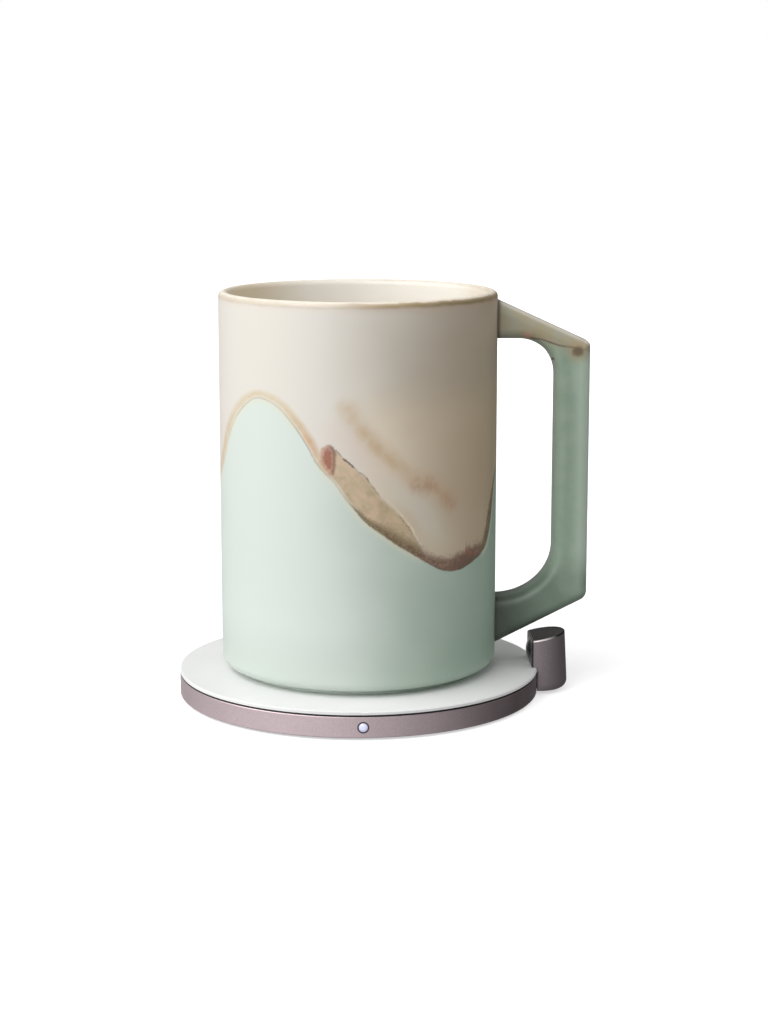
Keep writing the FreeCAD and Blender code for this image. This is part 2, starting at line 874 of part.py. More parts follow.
# The finger gap's outline, from the lower root to the upper one
def handle_gap_edges(root):
    curve_top = gap_low + gap_low_curve
    ease_x = (grip_inner - mug_radius) * QUARTER_ELLIPSE
    ease_z = gap_low_curve * QUARTER_ELLIPSE
    curve = Part.BezierCurve()
    start = point(mug_radius, gap_low, 0)
    end = point(grip_inner, curve_top, 0)
    curve.setPoles([start, start + point(ease_x, 0, 0), end - point(0, ease_z, 0), end])
    arc_low = point(grip_inner, gap_arc_height, 0)
    arc_end = point(gap_arc_x, gap_high, 0)
    bulge = gap_high_radius * math.sqrt(0.5)
    arc_middle = point(arc_end.x + bulge, arc_low.y + bulge, 0)
    return [
        Part.LineSegment(point(root, gap_low, 0), start).toShape(),
        curve.toShape(),
        Part.LineSegment(end, arc_low).toShape(),
        Part.Arc(arc_low, arc_middle, arc_end).toShape(),
        Part.LineSegment(arc_end, point(root, gap_high, 0)).toShape(),
    ]


def make_mug_handle():
    root = mug_radius - mug_wall
    outer = handle_outer_edges(root)
    outline = [Part.LineSegment(outer[step], outer[step + 1]).toShape() for step in range(3)]
    gap = handle_gap_edges(root)
    outline.append(Part.LineSegment(outer[3], point(root, gap_low, 0)).toShape())
    outline.extend(gap)
    outline.append(Part.LineSegment(point(root, gap_high, 0), outer[0]).toShape())
    face = Part.Face(Part.Wire(outline))
    flat = face.extrude(point(0, 0, handle_depth))
    long_edges = [edge for edge in flat.Edges if is_long_edge(edge, root)]
    rounded = flat.makeFillet(handle_edge, long_edges)
    top_corner = corner_edges(rounded, handle_top_corner)
    rounded = rounded.makeFillet(handle_top_corner_radius, top_corner)
    low_corner = corner_edges(rounded, handle_low_corner)
    rounded = rounded.makeFillet(handle_low_corner_radius, low_corner)
    upright = rounded.rotated(ORIGIN, OUTWARD, 90).translated(point(0, handle_depth / 2, plate_top))
    clay_joint = disc(mug_radius + bond_gap, plate_top, mug_top)
    save("mug_handle", upright.cut(clay_joint))


def is_long_edge(edge, root):
    box = edge.BoundBox
    lies_flat = box.ZLength < TINY
    at_root = box.XMax < root + TINY
    return lies_flat and not at_root


def corner_edges(solid, height):
    found = []
    for edge in solid.Edges:
        box = edge.BoundBox
        at_corner = box.XMin > handle_reach - TINY and abs(box.YMin - height) < TINY
        if at_corner and box.ZLength > TINY and box.YLength < TINY:
            found.append(edge)
    return found


make_foot_pad()
make_base_cover()
make_cover_screws()
make_housing_ring()
make_plate_gasket()
make_top_plate()
make_heater_pan()
make_heat_stack()
make_insulation_pad()
make_thermistor()
make_thermal_fuse()
make_leads()
make_control_board()
make_board_screws()
make_board_parts()
make_power_inlet()
make_button()
make_switch()
make_tower_shell()
make_tower_cap()
make_tower_window()
make_sensor()
make_sensor_cable()
make_tower_screws()
make_mug_body()
make_mug_handle()
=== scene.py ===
"""The looks of an electric mug warmer and its mug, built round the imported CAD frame."""
import logging
import math
from dataclasses import dataclass
from enum import Enum
from typing import Optional, Sequence

import bmesh
import bpy
import numpy as np
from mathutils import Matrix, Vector
from mathutils.kdtree import KDTree


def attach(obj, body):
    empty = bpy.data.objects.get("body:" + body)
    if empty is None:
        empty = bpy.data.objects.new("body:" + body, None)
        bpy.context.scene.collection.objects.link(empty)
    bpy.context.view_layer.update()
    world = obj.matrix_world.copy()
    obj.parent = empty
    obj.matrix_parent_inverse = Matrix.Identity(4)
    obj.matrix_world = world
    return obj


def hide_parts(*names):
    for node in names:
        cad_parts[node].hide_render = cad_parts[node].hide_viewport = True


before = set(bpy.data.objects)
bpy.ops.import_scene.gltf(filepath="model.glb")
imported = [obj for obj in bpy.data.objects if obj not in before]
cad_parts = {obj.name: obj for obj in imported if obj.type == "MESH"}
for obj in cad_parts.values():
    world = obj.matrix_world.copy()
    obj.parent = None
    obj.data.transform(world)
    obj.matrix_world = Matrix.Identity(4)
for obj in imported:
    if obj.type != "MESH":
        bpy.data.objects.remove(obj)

LOG = logging.getLogger("mug_warmer")
MM = 0.001
NOISE_LOW = 0.3
NOISE_HIGH = 0.7
OUTSIDE_BAND = -1000.0

Colour = tuple[float, float, float]
Socket = bpy.types.NodeSocket
Piece = bpy.types.Object


class Body(Enum):
    """The CAD bodies that a piece can ride on."""

    WARMER = "warmer"
    BUTTON = "button"
    MUG = "mug"


class Grain(Enum):
    """How a bare metal surface was worked."""

    BLASTED = "blasted"
    ROLLED = "rolled"
    PLAIN = "plain"


def dimmed(colour: Colour, share: float) -> Colour:
    """Return a colour with each of its parts multiplied by share."""
    return tuple(share * part for part in colour)


class Wiring:
    """A node tree, with a short call for each node that the finishes and the world share."""

    def __init__(self, tree: bpy.types.NodeTree) -> None:
        """Take the tree that the nodes go into."""
        self.tree = tree

    def node(self, kind: str, **settings: object) -> bpy.types.Node:
        """Add one node.

        Args:
            kind: the node's type, without its leading ShaderNode.
            settings: properties to set on it.

        Returns:
            The new node.
        """
        made = self.tree.nodes.new("ShaderNode" + kind)
        for key, value in settings.items():
            setattr(made, key, value)
        return made

    def feed(self, socket: Socket, value: object) -> None:
        """Link a socket to another, or set it to a plain value.

        Args:
            socket: the input to fill.
            value: an output socket, a number, or a colour of three numbers.
        """
        if isinstance(value, bpy.types.NodeSocket):
            self.tree.links.new(value, socket)
        elif isinstance(value, tuple) and len(socket.default_value) == 4:
            socket.default_value = (*value, 1.0)
        else:
            socket.default_value = value

    def maths(self, kind: str, first: object, second: object = 0.0, third: object = 0.0) -> Socket:
        """Join numbers with one Math node.

        Args:
            kind: the operation, as the Math node names it.
            first: the first number or socket.
            second: the second one.
            third: the third one, where the operation has it.

        Returns:
            The result's socket.
        """
        made = self.node("Math", operation=kind)
        for socket, value in zip(made.inputs, (first, second, third)):
            self.feed(socket, value)
        return made.outputs[0]

    def plus(self, first: object, second: object) -> Socket:
        """Add two numbers."""
        return self.maths("ADD", first, second)

    def minus(self, first: object, second: object) -> Socket:
        """Take the second number from the first."""
        return self.maths("SUBTRACT", first, second)

    def times(self, first: object, *others: object) -> Socket:
        """Multiply two or more numbers."""
        for other in others:
            first = self.maths("MULTIPLY", first, other)
        return first

    def hypot(self, first: Socket, second: Socket) -> Socket:
        """Return the distance whose two square parts are given."""
        squares = (self.maths("POWER", part, 2.0) for part in (first, second))
        return self.maths("SQRT", self.plus(*squares))

    def blend(self, share: object, first: object, second: object) -> Socket:
        """Return the first number where share is 0, and the second where it is 1."""
        made = self.node("Mix", data_type="FLOAT")
        for index, value in ((0, share), (2, first), (3, second)):
            self.feed(made.inputs[index], value)
        return made.outputs[0]


class Painter(Wiring):
    """One material's nodes, which read the place on the piece and the mesh's own values."""

    def __init__(self, name: str) -> None:
        """Start a material that holds one principled shader.

        Args:
            name: the material's name.
        """
        self.material = bpy.data.materials.new(name)
        self.material.use_nodes = True
        super().__init__(self.material.node_tree)
        self.shader = self.tree.nodes["Principled BSDF"]
        self.place = self.node("TexCoord").outputs["Object"]

    def axis(self, name: str) -> Socket:
        """Return the X, Y or Z of the place on the piece, in metres."""
        split = self.node("SeparateXYZ")
        self.feed(split.inputs[0], self.place)
        return split.outputs[name]

    def off_axis(self) -> Socket:
        """Return the distance from the upright axis, in metres."""
        return self.hypot(self.axis("X"), self.axis("Y"))

    def stretched(self, longer: Sequence[float], tilt: float = 0.0) -> Socket:
        """Draw the place out, so that a pattern runs long in one direction.

        Args:
            longer: how many times longer the pattern runs along each axis.
            tilt: how far the pattern is first turned about Y, in degrees.

        Returns:
            The coordinates to give to a texture.
        """
        mapping = self.node("Mapping", vector_type="TEXTURE")
        self.feed(mapping.inputs["Vector"], self.place)
        mapping.inputs["Scale"].default_value = longer
        mapping.inputs["Rotation"].default_value = (0.0, math.radians(tilt), 0.0)
        return mapping.outputs[0]

    def noise(self, grain: float, detail: float = 3.0, place: Optional[Socket] = None,
              rough: float = 0.5) -> Socket:
        """Add smooth noise.

        Args:
            grain: the size of one blob in metres.
            detail: how many finer layers are added.
            place: the coordinates to read, or the piece's own.
            rough: how strong the finer layers are.

        Returns:
            A value about 0.5, from 0 to 1.
        """
        made = self.node("TexNoise")
        self.feed(made.inputs["Vector"], place or self.place)
        made.inputs["Scale"].default_value = 1.0 / grain
        made.inputs["Detail"].default_value = detail
        made.inputs["Roughness"].default_value = rough
        return made.outputs["Fac"]

    def ramp(self, value: object, low: object, high: object, start: object = 0.0, end: object = 1.0,
             smooth: bool = True) -> Socket:
        """Map a value from one range to another, held at both ends.

        Args:
            value: what is mapped.
            low: the value that gives start.
            high: the value that gives end.
            start: the result at low.
            end: the result at high.
            smooth: whether the way between them eases in and out.

        Returns:
            The mapped value's socket.
        """
        made = self.node("MapRange", interpolation_type="SMOOTHSTEP" if smooth else "LINEAR")
        for name, given in (("Value", value), ("From Min", low), ("From Max", high),
                            ("To Min", start), ("To Max", end)):
            self.feed(made.inputs[name], given)
        return made.outputs["Result"]

    def hill(self, value: Socket, middle: float, width: float) -> Socket:
        """Return 1 where value is at middle, easing to 0 at width from it."""
        return self.ramp(self.maths("ABSOLUTE", self.minus(value, middle)), 0.0, width, 1.0, 0.0)

    def spread(self, noise: Socket, start: object = 0.0, end: object = 1.0) -> Socket:
        """Map the middle of a noise's range to the whole way from start to end."""
        return self.ramp(noise, NOISE_LOW, NOISE_HIGH, start, end)

    def swing(self, noise: Socket, reach: float) -> Socket:
        """Return noise as a value about 0, half of reach to either side at most."""
        return self.times(self.minus(noise, 0.5), reach)

    def mix(self, share: object, under: object, over: object, kind: str = "MIX") -> Socket:
        """Lay one colour over another.

        Args:
            share: how much of over shows, from 0 to 1.
            under: the colour beneath.
            over: the colour on top.
            kind: the blend, as the Mix node names it.

        Returns:
            The mixed colour's socket.
        """
        made = self.node("Mix", data_type="RGBA", blend_type=kind)
        self.feed(made.inputs[0], share)
        self.feed(made.inputs[6], under)
        self.feed(made.inputs[7], over)
        return made.outputs[2]

    def attribute(self, name: str) -> Socket:
        """Return the value that the mesh stores under this name."""
        return self.node("Attribute", attribute_name=name).outputs["Fac"]

    def bump(self, height: Socket, depth: float, strength: float = 1.0) -> None:
        """Raise the surface by a height.

        Args:
            height: the height map, from 0 to 1.
            depth: how high 1 stands, in metres.
            strength: how much of it shows.
        """
        made = self.node("Bump")
        made.inputs["Strength"].default_value = strength
        made.inputs["Distance"].default_value = depth
        self.feed(made.inputs["Height"], height)
        if self.shader.inputs["Normal"].is_linked:
            self.feed(made.inputs["Normal"], self.shader.inputs["Normal"].links[0].from_socket)
        self.feed(self.shader.inputs["Normal"], made.outputs[0])

    def coat(self, colour: object, rough: object, metal: float = 0.0, **others: object) -> None:
        """Set the shader's main inputs.

        Args:
            colour: the base colour.
            rough: the roughness.
            metal: 1 for bare metal.
            others: more inputs by name, with _ for a space.
        """
        self.feed(self.shader.inputs["Base Color"], colour)
        self.feed(self.shader.inputs["Roughness"], rough)
        self.feed(self.shader.inputs["Metallic"], metal)
        for name, value in others.items():
            self.feed(self.shader.inputs[name.replace("_", " ")], value)


@dataclass(frozen=True)
class MetalFinish:
    """Bare or anodised metal."""

    name: str
    colour: Colour
    rough: float = 0.35
    grain: Grain = Grain.PLAIN
    grain_size: float = 0.25 * MM
    grain_depth: float = 0.004 * MM
    metal: float = 1.0

    def material(self) -> bpy.types.Material:
        """Return the metal, with its grain and a little handling wear."""
        paint = Painter(self.name)
        if self.grain is Grain.ROLLED:
            fine = paint.noise(self.grain_size, 2.0, paint.stretched((1.0, 33.0, 1.0)))
        else:
            fine = paint.noise(self.grain_size, 2.0)
        broad = paint.noise(9 * MM, 2.0)
        tone = paint.mix(paint.spread(fine), dimmed(self.colour, 0.82), self.colour)
        rough = paint.spread(broad, self.rough * 0.92, self.rough * 1.08)
        paint.coat(self.edged(paint, tone), rough, self.metal)
        if self.grain is not Grain.PLAIN:
            paint.bump(fine, self.grain_depth)
        return paint.material

    def edged(self, paint: Painter, tone: Socket) -> Socket:
        """Return the tone as it is, for metal whose edges are finished like its faces."""
        return tone


@dataclass(frozen=True)
class RingFinish(MetalFinish):
    """The housing's metal, with painted shadow along its top edge, under the gap where the plate's seal sits.
    """

    name: str = "anodised_mauve"
    colour: Colour = (0.61, 0.50, 0.525)
    rough: float = 0.42
    grain: Grain = Grain.BLASTED
    # The heights and colour of the painted shadow along the top edge, under the plate's gap.
    gap_shadow_low: float = 6.66 * MM
    gap_shadow_high: float = 6.75 * MM
    seam: Colour = (0.03, 0.025, 0.027)

    def edged(self, paint: Painter, tone: Socket) -> Socket:
        """Paint shadow on the rounded top edge."""
        share = paint.ramp(paint.axis("Z"), self.gap_shadow_low, self.gap_shadow_high, 0.0, 0.9)
        return paint.mix(share, tone, self.seam)


@dataclass(frozen=True)
class PostFinish(MetalFinish):
    """The sensor post's metal, painted darker than the ring's as shade, with a painted highlight and painted
    shade on its top's bevel and a dark upright edge.
    """

    name: str = "anodised_post"
    # A darker copy of the ring's anodised colour: painted shade, for the mug's shadow on the post.
    colour: Colour = (0.25, 0.212, 0.225)
    rough: float = 0.38
    grain: Grain = Grain.BLASTED
    metal: float = 0.55
    join: float = 52.55 * MM
    join_low: float = 6.9 * MM
    join_high: float = 7.4 * MM
    flat: float = 50.5 * MM
    low_top: float = 16.1 * MM
    top_slope: float = 0.192
    bevel: float = 0.35 * MM
    highlight_reach: float = 4.0 * MM
    shade_reach: float = 8.0 * MM
    # The bevel's painted highlight, and the painted shade for its far side and the joint, which also colours
    # the flat's dark edge.
    bright: Colour = (0.80, 0.73, 0.73)
    shadow: Colour = (0.012, 0.011, 0.012)

    def edged(self, paint: Painter, tone: Socket) -> Socket:
        """Paint a highlight on the bevel near the flat and shade on its far side, darken the flat's edge, and
        paint shade in the joint with the ring.
        """
        out = paint.minus(paint.axis("X"), self.flat)
        level = paint.maths("MULTIPLY_ADD", out, self.top_slope, self.low_top)
        bevel = paint.ramp(paint.minus(level, paint.axis("Z")), 1.5 * self.bevel, 0.9 * self.bevel)
        front = paint.ramp(out, self.shade_reach, self.highlight_reach)
        # Painted highlight on the bevel near the flat, painted shade on its far side.
        tone = paint.mix(bevel, tone, paint.mix(front, self.shadow, self.bright))
        tone = paint.mix(paint.hill(out, 0.6 * self.bevel, 1.5 * self.bevel), tone, self.shadow)
        # Painted shade in the joint where the post meets the ring.
        joint = paint.ramp(paint.off_axis(), self.join, self.join + 2 * self.bevel, 0.85, 0.0)
        joint = paint.times(joint, paint.ramp(paint.axis("Z"), self.join_high, self.join_low))
        return paint.mix(joint, tone, self.shadow)


@dataclass(frozen=True)
class MouldedFinish:
    """Moulded plastic, rubber or silicone, with a fine spark-eroded texture."""

    name: str
    colour: Colour
    rough: float = 0.5
    texture: float = 0.12 * MM
    depth: float = 0.004 * MM

    def material(self) -> bpy.types.Material:
        """Return the moulding, a little uneven in tone and shine."""
        paint = Painter(self.name)
        fine = paint.noise(self.texture, 2.0)
        broad = paint.noise(6 * MM, 2.0)
        tone = paint.mix(paint.ramp(broad, 0.35, 0.65), dimmed(self.colour, 0.85), self.colour)
        rough = paint.spread(fine, self.rough * 0.9, min(1.0, self.rough * 1.1))
        paint.coat(tone, rough)
        paint.bump(fine, self.depth)
        return paint.material


@dataclass(frozen=True)
class PlateFinish:
    """The satin white surface that the mug stands on."""

    name: str = "satin_white_plate"
    colour: Colour = (0.82, 0.82, 0.815)
    # The side edge's colour, paler than the face: painted light.
    edge: Colour = (0.94, 0.94, 0.935)
    edge_low: float = 8.0 * MM
    edge_high: float = 8.25 * MM
    rough: float = 0.42

    def material(self) -> bpy.types.Material:
        """Return the plate's finish, faintly uneven in tone, with painted light that makes its shaded side
        edge as pale as its top.
        """
        paint = Painter(self.name)
        fine = paint.noise(0.2 * MM, 2.0)
        broad = paint.noise(14 * MM, 3.0)
        face = paint.mix(paint.spread(broad), dimmed(self.colour, 0.975), self.colour)
        # Painted light on the plate's side edge.
        side = paint.ramp(paint.axis("Z"), self.edge_high, self.edge_low)
        face = paint.mix(side, face, self.edge)
        paint.coat(face, paint.spread(fine, self.rough, self.rough + 0.06))
        paint.bump(fine, 0.002 * MM)
        return paint.material


@dataclass(frozen=True)
class BoardFinish:
    """A printed board's solder resist, with copper tracks under it."""

    name: str = "green_solder_resist"
    resist: Colour = (0.012, 0.105, 0.040)
    track: Colour = (0.030, 0.190, 0.075)
    track_size: float = 1.6 * MM

    def material(self) -> bpy.types.Material:
        """Return the board, whose tracks show as paler, slightly raised lanes."""
        paint = Painter(self.name)
        cells = paint.node("TexVoronoi", feature="DISTANCE_TO_EDGE", distance="EUCLIDEAN")
        paint.feed(cells.inputs["Vector"], paint.place)
        cells.inputs["Scale"].default_value = 1.0 / self.track_size
        lane = paint.ramp(cells.outputs["Distance"], 0.06, 0.11)
        paint.coat(paint.mix(lane, self.resist, self.track), 0.28)
        paint.bump(lane, 0.02 * MM, 0.6)
        return paint.material


@dataclass(frozen=True)
class FilmFinish:
    """Amber film with a flat heating track that winds round it."""

    name: str = "amber_heater_film"
    film: Colour = (0.52, 0.22, 0.03)
    track: Colour = (0.22, 0.13, 0.08)
    track_pitch: float = 3.0 * MM

    def material(self) -> bpy.types.Material:
        """Return the film, with its track as even rings about the axis."""
        paint = Painter(self.name)
        turn = paint.maths("PINGPONG", paint.maths("DIVIDE", paint.off_axis(), self.track_pitch), 0.5)
        track = paint.ramp(turn, 0.2, 0.26)
        paint.coat(paint.mix(track, self.film, self.track), 0.3)
        paint.bump(track, 0.03 * MM)
        return paint.material


@dataclass(frozen=True)
class FibreFinish:
    """Pressed insulation fibre."""

    name: str = "pressed_fibre"
    colour: Colour = (0.78, 0.74, 0.64)

    def material(self) -> bpy.types.Material:
        """Return the fibre, matted and slightly mottled."""
        paint = Painter(self.name)
        strands = paint.noise(0.9 * MM, 6.0, rough=0.7)
        tone = paint.mix(paint.ramp(strands, 0.35, 0.65), dimmed(self.colour, 0.72), self.colour)
        paint.coat(tone, 0.95, Sheen_Weight=0.3)
        paint.bump(strands, 0.25 * MM)
        return paint.material


@dataclass(frozen=True)
class LampFinish:
    """The button's lit lens, bright at its middle."""

    name: str = "lit_lens"
    height: float = 3.8 * MM
    radius: float = 1.2 * MM
    middle: Colour = (0.70, 0.73, 0.90)
    rim: Colour = (0.62, 0.60, 0.84)
    strength: float = 0.35

    def material(self) -> bpy.types.Material:
        """Return the lens, lit from behind and bluer towards its rim."""
        paint = Painter(self.name)
        away = paint.hypot(paint.axis("X"), paint.minus(paint.axis("Z"), self.height))
        glow = paint.mix(paint.ramp(away, 0.25 * self.radius, self.radius), self.middle, self.rim)
        paint.coat(glow, 0.2, Emission_Color=glow, Emission_Strength=self.strength, Coat_Weight=0.5)
        return paint.material


@dataclass(frozen=True)
class GlossFinish:
    """A smooth dark glossy moulding."""

    name: str
    colour: Colour
    rough: float = 0.12
    coat: float = 0.6

    def material(self) -> bpy.types.Material:
        """Return the moulding, with faint hairlines in its shine."""
        paint = Painter(self.name)
        hair = paint.noise(0.5 * MM, 4.0, paint.stretched((1.0, 0.125, 1.0)))
        tone = paint.mix(paint.spread(paint.noise(3 * MM)), dimmed(self.colour, 0.8), self.colour)
        rough = paint.spread(hair, self.rough, self.rough + 0.08)
        paint.coat(tone, rough, Coat_Weight=self.coat, Coat_Roughness=0.08)
        return paint.material


@dataclass(frozen=True)
class GlazePalette:
    """The colours of the two glazes and of the iron where they meet, with lit and shaded copies of the glazes
    and other painted light and shade among them.
    """

    # Each glaze's deeper colour is its shaded copy and its pale colour its lit copy: painted shade and
    # painted light.
    mint: Colour = (0.385, 0.505, 0.41)
    mint_lit: Colour = (0.735, 0.805, 0.745)
    cream: Colour = (0.485, 0.405, 0.30)
    cream_lit: Colour = (0.81, 0.77, 0.70)
    lining: Colour = (0.84, 0.805, 0.735)
    # The lining's shaded colour: painted shade, tinted tan.
    lining_shade: Colour = (0.70, 0.60, 0.44)
    # A lift above 1 for the cream: painted light.
    glow: Colour = (1.14, 1.07, 0.97)
    # Multiplied into the mint near the foot: painted shade.
    lower_shade: Colour = (0.83, 0.845, 0.83)
    ash: Colour = (0.72, 0.67, 0.56)
    blush: Colour = (0.80, 0.67, 0.58)
    tan: Colour = (0.66, 0.50, 0.325)
    rust: Colour = (0.54, 0.35, 0.235)
    honey: Colour = (0.68, 0.585, 0.37)
    orange: Colour = (0.64, 0.40, 0.23)
    khaki: Colour = (0.58, 0.455, 0.28)
    peach: Colour = (0.67, 0.50, 0.34)
    olive: Colour = (0.27, 0.21, 0.105)
    iron: Colour = (0.29, 0.165, 0.12)
    red_iron: Colour = (0.44, 0.13, 0.10)
    umber: Colour = (0.11, 0.060, 0.038)
    drop: Colour = (0.60, 0.34, 0.25)
    drop_core: Colour = (0.37, 0.12, 0.08)
    soot: Colour = (0.30, 0.26, 0.22)
    thread: Colour = (0.90, 0.78, 0.60)
    lip: Colour = (0.88, 0.82, 0.69)
    lip_line: Colour = (0.42, 0.31, 0.16)
    fringe: Colour = (0.78, 0.77, 0.60)


@dataclass(frozen=True)
class GlazeFinish:
    """A satin glaze: what the wall and the handle share."""

    name: str
    palette: GlazePalette = GlazePalette()
    rough: float = 0.42

    def material(self) -> bpy.types.Material:
        """Return the glaze, faintly wavy and pitted."""
        paint = self.new_coat()
        paint.build()
        pits = paint.noise(0.35 * MM, 2.0)
        waves = paint.noise(7 * MM, 2.0)
        paint.coat(paint.ground, paint.spread(waves, self.rough - 0.04, self.rough + 0.05))
        paint.bump(waves, 0.03 * MM)
        paint.bump(pits, 0.003 * MM)
        return paint.material

    def new_coat(self) -> "GlazeCoat":
        """Start the glaze's coat, which each kind of glaze lays in its own way."""
        raise NotImplementedError


class GlazeCoat(Painter):
    """A glaze being laid, colour over colour."""

    def __init__(self, glaze: GlazeFinish) -> None:
        """Start the glaze's material, with nothing laid on it yet.

        Args:
            glaze: the finish that is laid.
        """
        super().__init__(glaze.name)
        self.glaze = glaze
        self.palette = glaze.palette
        self.ground: object = glaze.palette.cream

    def lay(self, share: object, tone: object, kind: str = "MIX") -> None:
        """Lay a tone over what is there.

        Args:
            share: how much of the tone shows, from 0 to 1.
            tone: the colour.
            kind: the blend, as the Mix node names it.
        """
        self.ground = self.mix(share, self.ground, tone, kind)

    def build(self) -> None:
        """Lay every layer in its order."""
        raise NotImplementedError


@dataclass(frozen=True)
class WallGlaze(GlazeFinish):
    """Cream dipped over mint, with iron brown where they meet."""

    name: str = "glaze_wall"
    # Where the glazes go from their lit copies to their shaded copies across the pot: painted light and
    # shade.
    lit_side: float = -14.0 * MM
    shaded_side: float = 40.0 * MM
    # The heights over which the cream's painted light fades in.
    painted_light_start: float = 100.0 * MM
    painted_light_full: float = 84.0 * MM
    # The heights over which the mint's painted shade near the foot fades in.
    lower_shade_start: float = 30.0 * MM
    lower_shade_full: float = 12.0 * MM
    blush_height: float = 80.0 * MM
    ash_height: float = 62.0 * MM
    rim_height: float = 118.3 * MM
    # Where the lining's painted shade lies across the pot.
    lining_shade_near: tuple[float, float] = (-34.0 * MM, -12.0 * MM)
    lining_shade_far: tuple[float, float] = (29.0 * MM, 38.0 * MM)
    band_tilt: float = 39.0

    def new_coat(self) -> GlazeCoat:
        """Start the wall's coat."""
        return WallCoat(self)


class WallCoat(GlazeCoat):
    """The wall's glaze being laid, and the values that its layers read.

    The mesh stores how far each place is from the marks, in millimetres.
    """

    def __init__(self, glaze: WallGlaze) -> None:
        """Read the distances from the dip's edge and the band's, and how thick the glaze lies.

        Args:
            glaze: the finish that is laid.
        """
        super().__init__(glaze)
        self.fine = self.noise(1.1 * MM, 4.0, rough=0.6)
        self.drips = self.noise(1.3 * MM, 3.0, self.stretched((1.0, 1.0, 5.0)), rough=0.6)
        ripple = self.swing(self.fine, 0.5)
        self.edge = self.plus(self.attribute("above_dip"), ripple)
        self.seam = self.maths("MULTIPLY_ADD", ripple, 2.0, self.attribute("seam"))
        self.warmth = self.attribute("warmth")
        self.stain = self.attribute("stain")
        # How far a place is from the lit side to the shaded side, for the glazes' painted light and shade.
        drift = self.swing(self.noise(30 * MM, 2.0), 24 * MM)
        self.across = self.ramp(self.plus(self.axis("X"), drift), glaze.lit_side, glaze.shaded_side)

    def build(self) -> None:
        """Lay the glazes and their marks in the order in which they were fired."""
        self.cream()
        self.halo()
        self.band()
        self.ground = self.mix(self.ramp(self.edge, -0.12, 0.12), self.mint(), self.ground)
        self.iron()
        self.lines()
        self.drop()
        self.rim()
        self.lay(self.attribute("inside"), self.lining())

    def lining(self) -> Socket:
        """Return the inside's glaze, with painted shade tinted tan towards the pot's lit side, where the
        inside faces away from the light, and a little opposite.
        """
        # Painted shade on the inside, strong towards -X and weaker towards +X.
        near = self.ramp(self.axis("X"), *self.glaze.lining_shade_near, 1.0, 0.0)
        far = self.ramp(self.axis("X"), *self.glaze.lining_shade_far, 0.0, 0.6)
        return self.mix(self.maths("MAXIMUM", near, far), self.palette.lining, self.palette.lining_shade)

    def cream(self) -> None:
        """Lay the cream, as painted light on the lit side and painted shade on the shaded side, with painted
        light that brightens and warms it towards the dip, its pale wash and its tan streak.
        """
        glaze, tones = self.glaze, self.palette
        # Painted light on the lit side and painted shade on the shaded side.
        self.ground = self.mix(self.across, tones.cream_lit, tones.cream)
        # Painted light that brightens and warms the cream towards the dip, away from the lit side.
        warm = self.ramp(self.axis("Z"), glaze.painted_light_start, glaze.painted_light_full)
        self.lay(self.times(warm, self.ramp(self.across, 0.05, 0.3)), tones.glow, "MULTIPLY")
        high = self.ramp(self.axis("Z"), glaze.ash_height, glaze.blush_height)
        self.lay(self.times(self.attribute("wash"), 0.75), self.mix(high, tones.ash, tones.blush))
        cloudy = self.ramp(self.noise(3.5 * MM, 3.0), 0.25, 0.75, 0.6, 1.1)
        self.lay(self.times(self.attribute("streak"), cloudy), tones.tan)
        patchy = self.ramp(self.noise(2.6 * MM, 3.0, rough=0.6), 0.35, 0.6, 0.35, 1.0)
        self.lay(self.times(self.attribute("rust"), patchy), tones.rust)

    def mint(self) -> Socket:
        """Return the mint, as painted light on the lit side and painted shade on the shaded side, with
        painted shade towards the foot, and yellower just under the dip's edge.
        """
        glaze, tones = self.glaze, self.palette
        # Painted light on the lit side and painted shade on the shaded side.
        mint = self.mix(self.across, tones.mint_lit, tones.mint)
        # Painted shade on the mint towards the foot.
        low = self.ramp(self.axis("Z"), glaze.lower_shade_start, glaze.lower_shade_full)
        mint = self.mix(low, mint, tones.lower_shade, "MULTIPLY")
        cool = self.ramp(self.warmth, 0.3, 0.7, 0.5, 0.0)
        return self.mix(self.times(self.ramp(self.edge, -2.2, -0.2), cool), mint, tones.fringe)

    def halo(self) -> None:
        """Lay the soft warm band that follows the dip's edge."""
        halo = self.attribute("halo")
        width = self.maths("MAXIMUM", halo, 0.4)
        share = self.times(
            self.ramp(self.edge, 0.0, self.times(width, 0.32), 0.5, 1.0),
            self.ramp(self.edge, self.times(width, 0.45), self.times(width, 1.1), 1.0, 0.0),
            self.maths("MULTIPLY_ADD", self.warmth, 0.3, 0.68),
            self.ramp(halo, 0.2, 1.5),
            self.spread(self.noise(4 * MM), 0.75, 1.15),
        )
        self.lay(share, self.mix(self.warmth, self.palette.honey, self.palette.orange))

    def band(self) -> None:
        """Lay the khaki band where the two glazes ran together."""
        tones = self.palette
        fade = self.times(self.ramp(self.seam, -4.5, -0.3), self.attribute("seam_pale"), 0.45)
        self.lay(fade, tones.tan)
        clouds = self.noise(2.6 * MM, 3.0, self.stretched((2.4, 1.0, 1.0), self.glaze.band_tilt))
        tone = self.mix(self.ramp(clouds, 0.42, 0.6), tones.khaki, tones.peach)
        shade = self.ramp(self.noise(4.5 * MM, 4.0, rough=0.6), 0.48, 0.68, 0.0, 0.35)
        tone = self.mix(shade, tone, tones.olive)
        inside = self.ramp(self.maths("MINIMUM", self.edge, self.seam), -0.3, 0.9)
        self.lay(self.times(inside, 0.9), tone)

